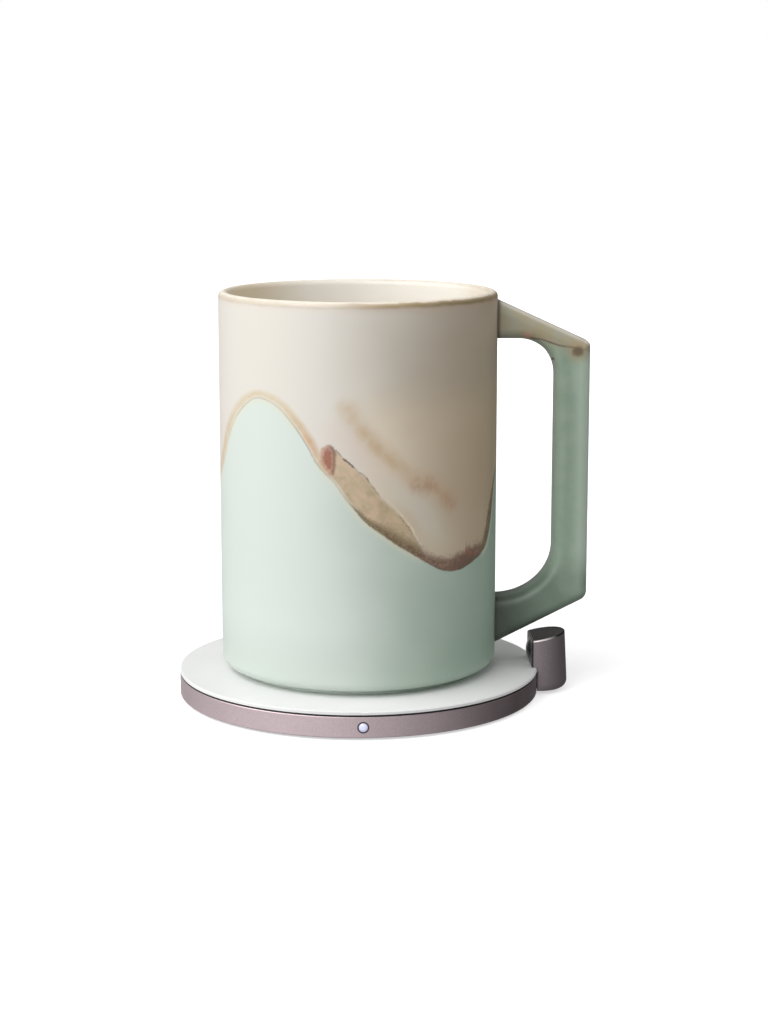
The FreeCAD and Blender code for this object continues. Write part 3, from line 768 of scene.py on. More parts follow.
    def iron(self) -> None:
        """Lay the brown that gathered above the edge, olive where it is cool and red where it is warm."""
        edge, tones = self.edge, self.palette
        runny = self.ramp(self.warmth, 0.7, 0.95)
        fine = self.noise(0.9 * MM, 4.0, rough=0.65)
        texture = self.plus(self.times(self.drips, runny), self.times(fine, self.minus(1.0, runny)))
        depth = self.times(self.stain, self.spread(texture, 0.72, 1.15))
        solid = self.times(depth, self.attribute("solid"))
        share = self.times(self.ramp(edge, solid, depth, 1.0, 0.0), self.ramp(edge, -0.1, 0.2),
                           self.ramp(self.stain, 0.3, 1.5), 0.88)
        red = self.times(self.ramp(self.noise(2.4 * MM, 2.0), 0.5, 0.62), runny)
        warm = self.mix(red, tones.iron, tones.red_iron)
        tone = self.mix(self.ramp(self.warmth, 0.1, 0.6), tones.olive, warm)
        dark = self.times(self.ramp(texture, 0.56, 0.46), 0.8)
        reach = self.maths("MULTIPLY_ADD", runny, 3.4, 1.2)
        low = self.ramp(edge, 0.6, reach, self.maths("MULTIPLY_ADD", runny, 0.55, 0.3), 0.0)
        self.lay(share, self.mix(self.maths("MAXIMUM", dark, low), tone, tones.umber))

    def lines(self) -> None:
        """Lay the thin lines at the dip's edge and along the band's upper edge."""
        edge, tones = self.edge, self.palette
        stained = self.ramp(self.stain, 0.0, 2.0)
        self.lay(self.times(self.hill(edge, 0.6, 0.45), self.minus(1.0, stained), 0.3), tones.cream_lit)
        runny = self.ramp(self.warmth, 0.3, 0.7)
        patchy = self.ramp(self.noise(5 * MM), 0.3, 0.6, 0.6, 1.0)
        line = self.times(self.hill(edge, 0.0, 0.36), patchy, self.maths("MULTIPLY_ADD", runny, 0.3, 0.42))
        self.lay(line, self.mix(stained, tones.soot, self.mix(runny, tones.olive, tones.umber)))
        broken = self.ramp(self.noise(1.5 * MM, 2.0), 0.35, 0.6, 0.3, 1.0)
        shown = self.times(broken, self.ramp(edge, 0.2, 0.6))
        for name, middle, width, tone in (("seam_dark", 0.2, 0.5, tones.umber),
                                          ("seam_pale", -0.5, 0.6, tones.thread)):
            self.lay(self.times(self.hill(self.seam, middle, width), self.attribute(name), shown), tone)

    def drop(self) -> None:
        """Lay the red-brown drop where the band begins, dark round one side."""
        tones = self.palette
        inside = self.plus(self.attribute("drop"), self.swing(self.fine, 0.9))
        tone = self.mix(self.ramp(inside, 0.6, 1.4), tones.drop, tones.drop_core)
        mottle = self.ramp(self.noise(1.0 * MM, 3.0, rough=0.6), 0.45, 0.65, 0.0, 0.3)
        self.lay(self.times(self.ramp(inside, -0.5, 0.6), 0.88), self.mix(mottle, tone, tones.umber))
        side = self.ramp(self.attribute("drop_side"), -0.3, 0.5)
        self.lay(self.times(self.hill(inside, 0.3, 0.85), side, 0.6), tones.umber)

    def rim(self) -> None:
        """Lay the worn lip and the brown line under it."""
        tones = self.palette
        below = self.times(self.minus(self.glaze.rim_height, self.axis("Z")), 1 / MM)
        below = self.plus(below, self.spread(self.noise(4 * MM), -0.12, 0.12))
        strength = self.ramp(self.across, 0.0, 0.4, 0.4, 1.0)
        self.lay(self.times(self.ramp(below, 0.9, 4.0, 0.4, 0.0), strength), tones.rust)
        line = self.times(self.hill(below, 1.05, 1.15), strength,
                          self.ramp(self.noise(14 * MM), 0.35, 0.6, 0.7, 1.0))
        self.lay(line, self.mix(self.ramp(self.across, 0.2, 0.9), tones.lip_line, tones.olive))
        self.lay(self.ramp(below, 0.1, 0.5, 0.8, 0.0), tones.lip)


@dataclass(frozen=True)
class HandleGlaze(GlazeFinish):
    """The glazes on the handle, darker than the wall's as painted shade, which meet along a line on its upper
    arm.
    """

    name: str = "glaze_handle"
    # These mints and creams are darker than the wall's: painted shade for the mug's shadow on the handle; the
    # creams are also more olive.
    mint: Colour = (0.275, 0.37, 0.28)
    mint_thin: Colour = (0.33, 0.425, 0.335)
    # Painted light on the grip's edges.
    mint_lit_edge: Colour = (0.52, 0.64, 0.53)
    cream: Colour = (0.39, 0.375, 0.285)
    cream_warm: Colour = (0.40, 0.345, 0.22)
    blotch: Colour = (0.15, 0.105, 0.06)
    tan: Colour = (0.42, 0.31, 0.18)
    crease: Colour = (0.06, 0.045, 0.03)
    # Painted shade on the lower arm near the wall.
    pool: Colour = (0.045, 0.062, 0.045)
    line_x: float = 53.0 * MM
    line_height: float = 104.0 * MM
    line_slope: float = -0.26
    line_start: float = 47.0 * MM
    line_end: float = 62.5 * MM
    line_fade: float = 2.0 * MM
    spot_place: tuple[float, float] = (48.2 * MM, 105.6 * MM)
    blotch_place: tuple[float, float] = (62.7 * MM, 101.0 * MM)
    pinhole_place: tuple[float, float] = (55.7 * MM, 98.7 * MM)
    # Where the lower arm's painted shade reaches, out from the wall and up.
    shade_near: float = 54.0 * MM
    shade_far: float = 86.0 * MM
    shade_top: float = 44.0 * MM
    joint: float = 40.0 * MM
    reach: float = 66.6 * MM
    grip: float = 56.5 * MM
    top_root: float = 133.84 * MM
    top_slope: float = 0.4586

    def new_coat(self) -> GlazeCoat:
        """Start the handle's coat."""
        return HandleCoat(self)


class HandleCoat(GlazeCoat):
    """The handle's glaze being laid."""

    def build(self) -> None:
        """Lay the glazes, the line between them, the painted highlight along the crest, the spots, and the
        painted shade and darker crease at the joints.
        """
        glaze = self.glaze
        fine = self.noise(1.1 * MM, 4.0)
        edge = self.above_line()
        self.glazes(edge)
        line = self.times(self.hill(edge, 0.0, 0.5), self.spread(fine, 0.55, 0.9),
                          self.ramp(self.axis("X"), glaze.line_end + glaze.line_fade, glaze.line_end))
        self.lay(line, self.palette.umber)
        # Painted highlight: pale cream along the top edge of the upper arm.
        crest = self.maths("MULTIPLY_ADD", self.axis("X"), -glaze.top_slope, glaze.top_root)
        share = self.ramp(self.minus(crest, self.axis("Z")), 1.2 * MM, 0.1 * MM, 0.0, 0.6)
        self.lay(share, self.palette.cream_lit)
        self.spots(fine)
        self.joints()

    def above_line(self) -> Socket:
        """Return the height above the slanting line where the glazes meet, in millimetres."""
        glaze = self.glaze
        out = self.minus(self.axis("X"), glaze.line_x)
        level = self.maths("MULTIPLY_ADD", out, glaze.line_slope, glaze.line_height)
        drop = self.ramp(self.axis("X"), glaze.line_start, glaze.line_start + glaze.line_fade, -5 * MM, 0.0)
        above = self.times(self.minus(self.axis("Z"), self.plus(level, drop)), 1 / MM)
        return self.plus(above, self.swing(self.noise(7 * MM, 2.0), 1.6))

    def glazes(self, edge: Socket) -> None:
        """Lay the mint, with painted light on the grip's edges and yellower near the line, and the cream
        above.

        Args:
            edge: the height above the line where the glazes meet, in millimetres.
        """
        glaze = self.glaze
        clouds = self.ramp(self.noise(6 * MM, 3.0), 0.35, 0.65)
        self.ground = self.mix(clouds, glaze.mint, glaze.mint_thin)
        # Painted light on the grip's outer and inner edges.
        self.lay(self.lit_edges(), glaze.mint_lit_edge)
        self.lay(self.times(self.ramp(edge, -4.0, 0.0), 0.4), glaze.cream_warm)
        self.lay(self.ramp(edge, -0.3, 0.3), self.mix(clouds, glaze.cream, glaze.cream_warm))

    def lit_edges(self) -> Socket:
        """Return how much painted light lies on the grip's outer and inner edges, fading out low on the
        handle.
        """
        glaze = self.glaze
        outer = self.ramp(self.axis("X"), glaze.grip + 3.5 * MM, glaze.reach)
        inner = self.ramp(self.axis("X"), glaze.grip + 2.5 * MM, glaze.grip, 0.0, 0.35)
        standing = self.ramp(self.axis("Z"), glaze.shade_top - 12 * MM, glaze.shade_top)
        return self.times(self.maths("MAXIMUM", outer, inner), standing)

    def away(self, place: tuple[float, float]) -> Socket:
        """Return the distance from a point on the handle's face, in metres."""
        across, height = place
        return self.hypot(self.minus(self.axis("X"), across), self.minus(self.axis("Z"), height))

    def spots(self, fine: Socket) -> None:
        """Lay the warm spot where the line begins, the blotch near its end and the pinhole.

        Args:
            fine: fine noise.
        """
        glaze, tones = self.glaze, self.palette
        spot, pinhole = self.away(glaze.spot_place), self.away(glaze.pinhole_place)
        blotch = self.plus(self.away(glaze.blotch_place), self.swing(fine, 1.2 * MM))
        for away, full, gone, strength, tone in (
            (spot, 0.4 * MM, 1.8 * MM, 0.7, tones.drop),
            (blotch, 1.2 * MM, 4.6 * MM, 0.55, glaze.tan),
            (blotch, 0.7 * MM, 2.3 * MM, 0.9, glaze.blotch),
            (pinhole, 0.2 * MM, 0.6 * MM, 0.9, tones.umber),
        ):
            self.lay(self.ramp(away, full, gone, strength, 0.0), tone)

    def joints(self) -> None:
        """Lay painted shade on the lower arm near the wall, and darken a narrow band along the joint with the
        wall.
        """
        glaze = self.glaze
        # Painted shade on the lower arm near the wall.
        out = self.maths("MULTIPLY_ADD", self.axis("Z"), 0.5, self.axis("X"))
        pool = self.ramp(out, glaze.shade_near, glaze.shade_far, 0.95, 0.0, smooth=False)
        low = self.ramp(self.axis("Z"), glaze.shade_top, glaze.shade_top - 10 * MM)
        self.lay(self.times(pool, low), glaze.pool)
        crease = self.ramp(self.off_axis(), glaze.joint + 0.3 * MM, glaze.joint + 1.3 * MM, 0.75, 0.0)
        self.lay(crease, glaze.crease)


def carried(mesh: bmesh.types.BMesh, start: bmesh.types.BMVert, centre: Vector, turn: float,
            step: Vector, steps: int) -> bmesh.types.BMVert:
    """Carry a section's line on from a vertex, round an arc in the XZ plane or straight ahead.

    Args:
        mesh: the section being drawn.
        start: the vertex to start from.
        centre: the arc's centre.
        turn: the angle turned about +Y, in radians.
        step: how far each step moves on.
        steps: how many straight pieces are added.

    Returns:
        The last vertex.
    """
    made = bmesh.ops.spin(mesh, geom=[start], cent=centre, axis=(0, 1, 0), angle=turn, dvec=step, steps=steps)
    return made["geom_last"][0]


def finished(name: str, mesh: bmesh.types.BMesh, material: bpy.types.Material, body: Body) -> Piece:
    """Turn a bmesh into a piece that rides on a body.

    Args:
        name: the piece's name.
        mesh: its shape, which is freed.
        material: its finish.
        body: what it rides on.

    Returns:
        The new piece.
    """
    data = bpy.data.meshes.new(name)
    mesh.to_mesh(data)
    mesh.free()
    data.materials.append(material)
    data.shade_smooth()
    piece = bpy.data.objects.new(name, data)
    bpy.context.scene.collection.objects.link(piece)
    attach(piece, body.value)
    LOG.info("%s: %d faces", name, len(data.polygons))
    return piece


def dress(material: bpy.types.Material, *nodes: str) -> None:
    """Put a finish on CAD nodes whose shape stays.

    Args:
        material: the finish.
        nodes: the nodes' names.
    """
    for name in nodes:
        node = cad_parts[name]
        if not node.material_slots:
            node.data.materials.append(material)
        for holder in node.material_slots:
            holder.material = material
        LOG.info("%s: %s", name, material.name)


@dataclass(frozen=True)
class DipPoint:
    """One chosen point of the dip's edge, with the widths of what lies above it in millimetres."""

    angle: float
    height: float
    halo: float = 0.0
    warmth: float = 0.0
    stain: float = 0.0
    solid: float = 0.2


@dataclass(frozen=True)
class SeamPoint:
    """One chosen point of the khaki band's upper edge, with how dark or pale it is drawn."""

    angle: float
    height: float
    dark: float = 0.0
    pale: float = 0.0


@dataclass(frozen=True)
class StrokePoint:
    """One chosen point of a soft brush stroke, with its half width in millimetres."""

    angle: float
    height: float
    reach: float
    strength: float = 1.0


@dataclass(frozen=True)
class GlazeMarks:
    """Where the glaze's marks lie on the unrolled wall, by angle in degrees and height in millimetres."""

    dip: tuple[DipPoint, ...] = (
        DipPoint(-174.3, 64.0, 4.2, 0.3), DipPoint(-168.3, 67.7, 4.2, 0.3),
        DipPoint(-162.3, 72.1, 4.2, 0.3), DipPoint(-156.7, 78.4, 4.0, 0.3),
        DipPoint(-151.1, 83.7, 3.6, 0.25), DipPoint(-144.3, 87.9, 3.2, 0.2),
        DipPoint(-138.9, 90.3, 2.8, 0.15), DipPoint(-135.0, 91.2, 2.6, 0.1),
        DipPoint(-128.4, 90.4, 2.9, 0.1), DipPoint(-123.5, 88.6, 3.1, 0.2),
        DipPoint(-119.0, 85.6, 3.2, 0.3), DipPoint(-114.7, 82.0, 3.3, 0.6),
        DipPoint(-110.9, 78.0, 3.3, 0.85), DipPoint(-108.0, 74.4, 2.8, 0.6),
        DipPoint(-104.4, 71.6, 1.5, 0.2, 0.2), DipPoint(-100.5, 68.9, 0.0, 0.05, 0.2),
        DipPoint(-96.9, 65.3, 0.0, 0.05, 0.4), DipPoint(-92.6, 61.5, 0.0, 0.05, 1.3),
        DipPoint(-88.4, 58.1, 0.0, 0.05, 2.5), DipPoint(-82.9, 55.2, 0.0, 0.1, 4.2),
        DipPoint(-76.8, 52.0, 0.0, 0.1, 5.0), DipPoint(-70.6, 49.2, 0.0, 0.2, 5.2, 0.25),
        DipPoint(-63.6, 46.2, 0.0, 0.6, 3.8, 0.35), DipPoint(-56.9, 43.7, 0.0, 0.7, 4.9, 0.45),
        DipPoint(-51.8, 42.7, 0.0, 0.8, 5.6, 0.5), DipPoint(-46.0, 42.7, 0.0, 0.95, 6.4, 0.6),
        DipPoint(-41.1, 43.4, 0.0, 1.0, 6.8, 0.6), DipPoint(-36.9, 44.2, 0.0, 0.9, 6.6, 0.55),
        DipPoint(-32.9, 45.1, 0.0, 0.65, 5.8, 0.4), DipPoint(-29.3, 46.1, 0.0, 0.4, 4.6, 0.3),
        DipPoint(-26.3, 47.5, 0.0, 0.2, 4.2, 0.5), DipPoint(-22.8, 51.1, 0.0, 0.1, 4.2, 0.75),
        DipPoint(-20.2, 55.1, 0.0, 0.1, 4.2, 0.8), DipPoint(-18.2, 59.3, 0.0, 0.2, 3.6, 0.6),
        DipPoint(-15.5, 64.0, 1.0, 0.4, 2.4, 0.4), DipPoint(-9.0, 70.0, 3.0, 0.6, 0.5),
        DipPoint(2.0, 75.0, 3.4, 0.5), DipPoint(20.0, 83.0, 3.2, 0.2), DipPoint(43.0, 87.0, 2.8, 0.1),
        DipPoint(70.0, 80.0, 3.2, 0.4), DipPoint(90.0, 67.0, 2.0, 0.6, 0.6),
        DipPoint(105.0, 56.0, 1.0, 0.3, 2.0), DipPoint(120.0, 49.0, 0.0, 0.4, 3.4, 0.4),
        DipPoint(140.0, 45.0, 0.0, 0.95, 4.8, 0.55), DipPoint(158.0, 50.0, 1.5, 0.4, 2.0),
        DipPoint(172.0, 57.0, 3.6, 0.3),
    )
    seam: tuple[SeamPoint, ...] = (
        SeamPoint(-108.2, 74.3), SeamPoint(-104.5, 77.6), SeamPoint(-100.0, 78.5, 0.4),
        SeamPoint(-98.4, 77.2, 0.6), SeamPoint(-96.9, 76.1, 0.9), SeamPoint(-93.8, 74.2, 0.9),
        SeamPoint(-91.0, 72.5, 0.8), SeamPoint(-87.9, 70.6, 0.8), SeamPoint(-86.6, 69.3, 0.4),
        SeamPoint(-84.4, 67.2, 0.5), SeamPoint(-82.0, 65.0, 0.15), SeamPoint(-78.9, 62.9, 0.15, 0.1),
        SeamPoint(-76.0, 60.6, 0.2, 0.6), SeamPoint(-73.1, 58.5, 0.5, 0.9),
        SeamPoint(-70.2, 55.6, 0.5, 0.9), SeamPoint(-68.5, 53.3, 0.2, 0.6),
        SeamPoint(-66.2, 50.6, 0.1, 0.2), SeamPoint(-62.5, 46.0),
    )
    streak: tuple[StrokePoint, ...] = (
        StrokePoint(-101.5, 91.2, 1.9, 0.0), StrokePoint(-98.0, 90.2, 2.5, 0.39),
        StrokePoint(-95.6, 89.0, 2.8, 0.78), StrokePoint(-92.6, 86.0, 2.7, 0.73),
        StrokePoint(-89.6, 83.3, 2.5, 0.84), StrokePoint(-86.2, 80.6, 2.4, 0.90),
        StrokePoint(-82.4, 77.9, 2.4, 0.95), StrokePoint(-78.4, 75.3, 2.4, 0.90),
        StrokePoint(-74.4, 72.9, 2.5, 0.84), StrokePoint(-70.2, 70.6, 2.7, 0.84),
        StrokePoint(-66.0, 69.0, 2.5, 0.90), StrokePoint(-61.8, 68.0, 2.4, 0.90),
        StrokePoint(-57.0, 65.8, 2.2, 0.78), StrokePoint(-53.0, 63.0, 2.1, 0.90),
        StrokePoint(-49.5, 60.4, 1.8, 0.22),
    )
    rust: tuple[StrokePoint, ...] = (
        StrokePoint(-71.5, 69.0, 1.2, 0.1), StrokePoint(-68.5, 68.2, 2.0, 0.85),
        StrokePoint(-64.0, 67.8, 2.4, 0.95), StrokePoint(-60.0, 67.4, 2.2, 0.8),
        StrokePoint(-57.0, 65.2, 1.5, 0.4), StrokePoint(-53.8, 63.4, 2.2, 0.8),
        StrokePoint(-51.2, 61.6, 2.2, 0.7),
    )
    wash: tuple[StrokePoint, ...] = (
        StrokePoint(-103.0, 87.5, 4.0, 0.0), StrokePoint(-100.3, 83.7, 4.0, 0.5),
        StrokePoint(-94.5, 80.0, 3.6, 0.8), StrokePoint(-86.7, 74.6, 3.4, 0.9),
        StrokePoint(-78.8, 69.0, 3.8, 0.9), StrokePoint(-72.7, 64.9, 4.6, 1.0),
        StrokePoint(-66.3, 61.3, 5.2, 1.0), StrokePoint(-61.8, 56.8, 5.0, 1.0),
        StrokePoint(-57.0, 52.3, 3.4, 0.6),
    )
    drop: tuple[StrokePoint, ...] = (
        StrokePoint(-103.3, 77.4, 2.1), StrokePoint(-103.3, 75.4, 2.1), StrokePoint(-102.5, 73.4, 1.6),
        StrokePoint(-101.9, 72.0, 0.8),
    )
    sample: float = 0.1
    span: float = 220.0

    def dip_line(self) -> np.ndarray:
        """Run a smooth closed line through the dip's chosen points.

        Returns:
            Rows of angle, height, halo, warmth, stain and solid, one for every sample's turn.
        """
        points = sorted(self.dip, key=lambda point: point.angle)
        angles = np.array([point.angle for point in points])
        values = np.array([(point.height, point.halo, point.warmth, point.stain, point.solid)
                           for point in points])
        angles = np.concatenate([angles - 360, angles, angles + 360])
        values = np.concatenate([values, values, values])
        fine = np.arange(-self.span, self.span, self.sample)
        spot = np.searchsorted(angles, fine, side="right") - 1
        span = (angles[spot + 1] - angles[spot])[:, None]
        share = (fine - angles[spot])[:, None] / span
        slope = (values[2:] - values[:-2]) / (angles[2:] - angles[:-2])[:, None]
        start, end = values[spot], values[spot + 1]
        leave, arrive = slope[spot - 1] * span, slope[spot] * span
        square, cube = share ** 2, share ** 3
        smooth = (start * (2 * cube - 3 * square + 1) + leave * (cube - 2 * square + share)
                  + end * (3 * square - 2 * cube) + arrive * (cube - square))
        return np.column_stack([fine, smooth[:, 0], np.clip(smooth[:, 1:], 0, None)])

    def on_wall(self, angle: np.ndarray, height: np.ndarray, radius: float) -> dict[str, np.ndarray]:
        """Work out every mark's value at places on the wall.

        Args:
            angle: the places' angles, in degrees.
            height: their heights, in millimetres.
            radius: the wall's radius, in millimetres.

        Returns:
            Values by attribute name.
        """
        here = np.column_stack([np.radians(angle) * radius, height])
        line = self.dip_line()
        tree = KDTree(len(line))
        for index, (turn, level) in enumerate(line[:, :2]):
            tree.insert((math.radians(turn) * radius, level, 0), index)
        tree.balance()
        found = [tree.find((along, level, 0)) for along, level in here]
        nearest = line[[index for _, index, _ in found]]
        gap = np.array([distance for _, _, distance in found])
        above = np.where(height > np.interp(angle, line[:, 0], line[:, 1]), gap, -gap)
        marks = {"above_dip": above, "halo": nearest[:, 2], "warmth": nearest[:, 3],
                 "stain": nearest[:, 4], "solid": nearest[:, 5]}
        marks.update(self.seam_on(here, radius))
        for name in ("streak", "rust", "wash"):
            distance, reach, strength, _ = self.nearest_on(getattr(self, name), here, radius)
            marks[name] = strength * np.exp(-(distance / reach) ** 2)
        distance, reach, _, side = self.nearest_on(self.drop, here, radius)
        marks["drop"] = reach - distance
        marks["drop_side"] = side / reach
        return marks

    def seam_on(self, here: np.ndarray, radius: float) -> dict[str, np.ndarray]:
        """Work out how far places are inside the band's upper edge, and how that edge is drawn.

        Args:
            here: places on the unrolled wall, in millimetres.
            radius: the wall's radius, in millimetres.

        Returns:
            Values by attribute name.
        """
        trail = tuple(StrokePoint(point.angle, point.height, point.dark, point.pale) for point in self.seam)
        distance, dark, pale, _ = self.nearest_on(trail, here, radius)
        along = np.array([math.radians(point.angle) * radius for point in self.seam])
        level = np.interp(here[:, 0], along, [point.height for point in self.seam],
                          OUTSIDE_BAND, OUTSIDE_BAND)
        inside = np.where(here[:, 1] < level, distance, -distance)
        return {"seam": inside, "seam_dark": dark, "seam_pale": pale}

    def nearest_on(self, stroke: Sequence[StrokePoint], here: np.ndarray,
                   radius: float) -> tuple[np.ndarray, ...]:
        """Find the closest point of a stroke to each place.

        Args:
            stroke: the stroke's chosen points, in order.
            here: places on the unrolled wall, in millimetres.
            radius: the wall's radius, in millimetres.

        Returns:
            The distance, the stroke's reach and strength there, and how far the place is to its left.
        """
        route = np.array([(math.radians(point.angle) * radius, point.height) for point in stroke])
        kept = np.full((4, len(here)), np.inf)
        for index, (start, end) in enumerate(zip(route[:-1], route[1:])):
            run = end - start
            share = np.clip(((here - start) @ run) / (run @ run), 0, 1)
            offset = here - start - share[:, None] * run
            side = (run[0] * offset[:, 1] - run[1] * offset[:, 0]) / math.hypot(*run)
            first, second = stroke[index], stroke[index + 1]
            found = np.stack([np.hypot(*offset.T), first.reach + share * (second.reach - first.reach),
                              first.strength + share * (second.strength - first.strength), side])
            kept = np.where(found[0] < kept[0], found, kept)
        return tuple(kept)


@dataclass
class Studio:
    """The camera, floor, lamps and surroundings."""

    camera_place: tuple[float, float, float] = (-14.25 * MM, -627.9 * MM, 172.74 * MM)
    camera_down: float = 10.74
    camera_right: float = 1.98
    lens: float = 77.1
    sensor: float = 36.0
    far_clip: float = 20.0
    aim_height: float = 60.0 * MM
    floor_size: float = 60.0
    key_angle: float = 54.0
    key_rise: float = 42.0
    lamp_reach: float = 1.3
    lamp_width: float = 2.2
    lamp_height: float = 1.3
    key_power: float = 28.5
    back_angle: float = 104.0
    back_rise: float = 28.0
    back_power: float = 7.0
    shade_level: float = 0.245
    bright_side: tuple[float, float, float] = (-0.85, -0.5, 0.0)
    shine_level: float = 0.53
    shine_swing: float = 0.49
    floor_near: float = 0.25
    floor_far: float = 0.9
    floor_glow: float = 0.52
    floor_grey: Colour = (0.84, 0.84, 0.84)

    def build(self) -> None:
        """Build the whole studio."""
        self.camera()
        self.floor()
        self.lamp("key_lamp", -self.key_angle, self.key_rise, self.key_power)
        self.lamp("back_lamp", self.back_angle, self.back_rise, self.back_power).visible_glossy = False
        self.surroundings()
        bpy.context.scene.view_settings.view_transform = "Standard"

    def camera(self) -> None:
        """Stand the camera where the photograph was taken from."""
        lens = bpy.data.cameras.new("camera")
        lens.lens = self.lens
        lens.sensor_width = self.sensor
        lens.clip_end = self.far_clip
        camera = bpy.data.objects.new("camera", lens)
        camera.location = self.camera_place
        camera.rotation_euler = (math.radians(90 - self.camera_down), 0, math.radians(-self.camera_right))
        bpy.context.scene.collection.objects.link(camera)
        bpy.context.scene.camera = camera

    def floor(self) -> None:
        """Lay a pale floor that keeps the shadow and blends into the white behind."""
        mesh = bmesh.new()
        bmesh.ops.create_grid(mesh, x_segments=1, y_segments=1, size=self.floor_size)
        data = bpy.data.meshes.new("studio_floor")
        mesh.to_mesh(data)
        mesh.free()
        floor = bpy.data.objects.new("studio_floor", data)
        bpy.context.scene.collection.objects.link(floor)
        floor.visible_diffuse = floor.visible_glossy = floor.visible_transmission = False
        paint = Painter("studio_floor")
        away = paint.node("VectorMath", operation="LENGTH")
        paint.feed(away.inputs[0], paint.place)
        white = paint.ramp(away.outputs["Value"], self.floor_near, self.floor_far, self.floor_glow, 1.0)
        paint.coat(self.floor_grey, 1.0, Emission_Color=(1.0, 1.0, 1.0), Emission_Strength=white,
                   Specular_IOR_Level=0.0)
        data.materials.append(paint.material)

    def lamp(self, name: str, side: float, rise: float, power: float) -> Piece:
        """Hang one broad soft lamp that looks at the object.

        Args:
            name: the lamp's name.
            side: how far it stands round to the camera's right, in degrees.
            rise: how high it stands, in degrees.
            power: its power in watts.

        Returns:
            The lamp.
        """
        light = bpy.data.lights.new(name, "AREA")
        light.shape = "RECTANGLE"
        light.size = self.lamp_width
        light.size_y = self.lamp_height
        light.energy = power
        lamp = bpy.data.objects.new(name, light)
        turn, lift = math.radians(side), math.radians(rise)
        towards = Vector((math.sin(turn) * math.cos(lift), -math.cos(turn) * math.cos(lift), math.sin(lift)))
        lamp.location = towards * self.lamp_reach + Vector((0, 0, self.aim_height))
        lamp.rotation_euler = towards.to_track_quat("Z", "Y").to_euler()
        bpy.context.scene.collection.objects.link(lamp)
        return lamp

    def surroundings(self) -> None:
        """Show white behind the object, with reflections bright to its left and dim to its right."""
        world = bpy.data.worlds.new("studio")
        world.use_nodes = True
        world.node_tree.nodes.clear()
        nodes = Wiring(world.node_tree)
        path = nodes.node("LightPath").outputs
        facing = nodes.node("VectorMath", operation="DOT_PRODUCT")
        nodes.feed(facing.inputs[0], nodes.node("TexCoord").outputs["Generated"])
        nodes.feed(facing.inputs[1], self.bright_side)
        side = nodes.maths("MULTIPLY_ADD", facing.outputs["Value"], self.shine_swing, self.shine_level)
        shine = nodes.maths("MAXIMUM", path["Is Glossy Ray"], path["Is Transmission Ray"])
        level = nodes.blend(shine, self.shade_level, side)
        background = nodes.node("Background")
        nodes.feed(background.inputs["Color"], (1.0, 1.0, 1.0))
        nodes.feed(background.inputs["Strength"], nodes.blend(path["Is Camera Ray"], level, 1.0))
        nodes.feed(nodes.node("OutputWorld").inputs[0], background.outputs[0])
        bpy.context.scene.world = world


@dataclass
class WarmerBase:
    """The round housing with its plate, cover, foot and screws."""

    anodised: RingFinish = RingFinish()
    screw_steel: MetalFinish = MetalFinish("screw_steel", (0.55, 0.55, 0.56), 0.28)

    def build(self) -> None:
        """Dress the base's CAD nodes."""
        dress(self.anodised.material(), "housing_ring")
        dress(PlateFinish().material(), "top_plate")
        dress(MouldedFinish("gasket_rubber", (0.02, 0.02, 0.021), 0.7).material(), "plate_gasket")
        dress(MouldedFinish("dark_cover", (0.055, 0.05, 0.053), 0.55).material(), "base_cover")
        dress(MouldedFinish("foot_silicone", (0.10, 0.095, 0.10), 0.78, 0.3 * MM, 0.02 * MM).material(),
              "foot_pad")
        dress(self.screw_steel.material(), "cover_screws", "board_screws", "tower_screws")


@dataclass
class HeaterStack:
    """What lies under the plate and warms it."""

    aluminium: MetalFinish = MetalFinish("rolled_aluminium", (0.80, 0.80, 0.81), 0.32, Grain.ROLLED)
    pressed_steel: MetalFinish = MetalFinish("pressed_steel", (0.56, 0.56, 0.57), 0.36, Grain.ROLLED)
    can_metal: MetalFinish = MetalFinish("bright_can", (0.78, 0.78, 0.79), 0.16)

    def build(self) -> None:
        """Dress the heater's CAD nodes."""
        dress(self.aluminium.material(), "heat_spreader")
        dress(FilmFinish().material(), "heater_film")
        dress(FibreFinish().material(), "insulation_pad")
        dress(self.pressed_steel.material(), "heater_pan")
        dress(GlossFinish("glass_bead", (0.09, 0.06, 0.04)).material(), "thermistor")
        dress(self.can_metal.material(), "thermal_fuse", "sensor_can")
        dress(MouldedFinish("white_sleeve", (0.74, 0.74, 0.71), 0.45).material(), "thermistor_leads")
        dress(MouldedFinish("red_sleeve", (0.47, 0.025, 0.02), 0.4).material(), "heater_leads")


@dataclass
class ControlBoard:
    """The board, its parts and the sensor's small board."""

    board: BoardFinish = BoardFinish()

    def build(self) -> None:
        """Dress the board's CAD nodes."""
        dress(self.board.material(), "control_board", "sensor_board")
        dress(MouldedFinish("chip_epoxy", (0.022, 0.022, 0.024), 0.6).material(),
              "controller_chip", "power_chip", "power_transistors", "switch_body", "usb_tongue")
        dress(MouldedFinish("ferrite_block", (0.075, 0.075, 0.08), 0.8, 0.25 * MM, 0.015 * MM).material(),
              "power_inductor")
        dress(MouldedFinish("fired_capacitor", (0.40, 0.27, 0.15), 0.4).material(), "board_capacitors")
        dress(MouldedFinish("natural_nylon", (0.78, 0.75, 0.66), 0.45).material(),
              "wire_connectors", "switch_plunger")
        dress(MouldedFinish("lamp_body", (0.85, 0.86, 0.80), 0.25).material(), "status_leds")


@dataclass
class PowerInlet:
    """The socket for the power lead, at the back."""

    shell: MetalFinish = MetalFinish("inlet_steel", (0.66, 0.66, 0.67), 0.25, Grain.ROLLED)
    gold: MetalFinish = MetalFinish("gold_plating", (0.90, 0.66, 0.25), 0.22)

    def build(self) -> None:
        """Dress the inlet's CAD nodes."""
        dress(self.shell.material(), "usb_shell")
        dress(self.gold.material(), "usb_contacts")


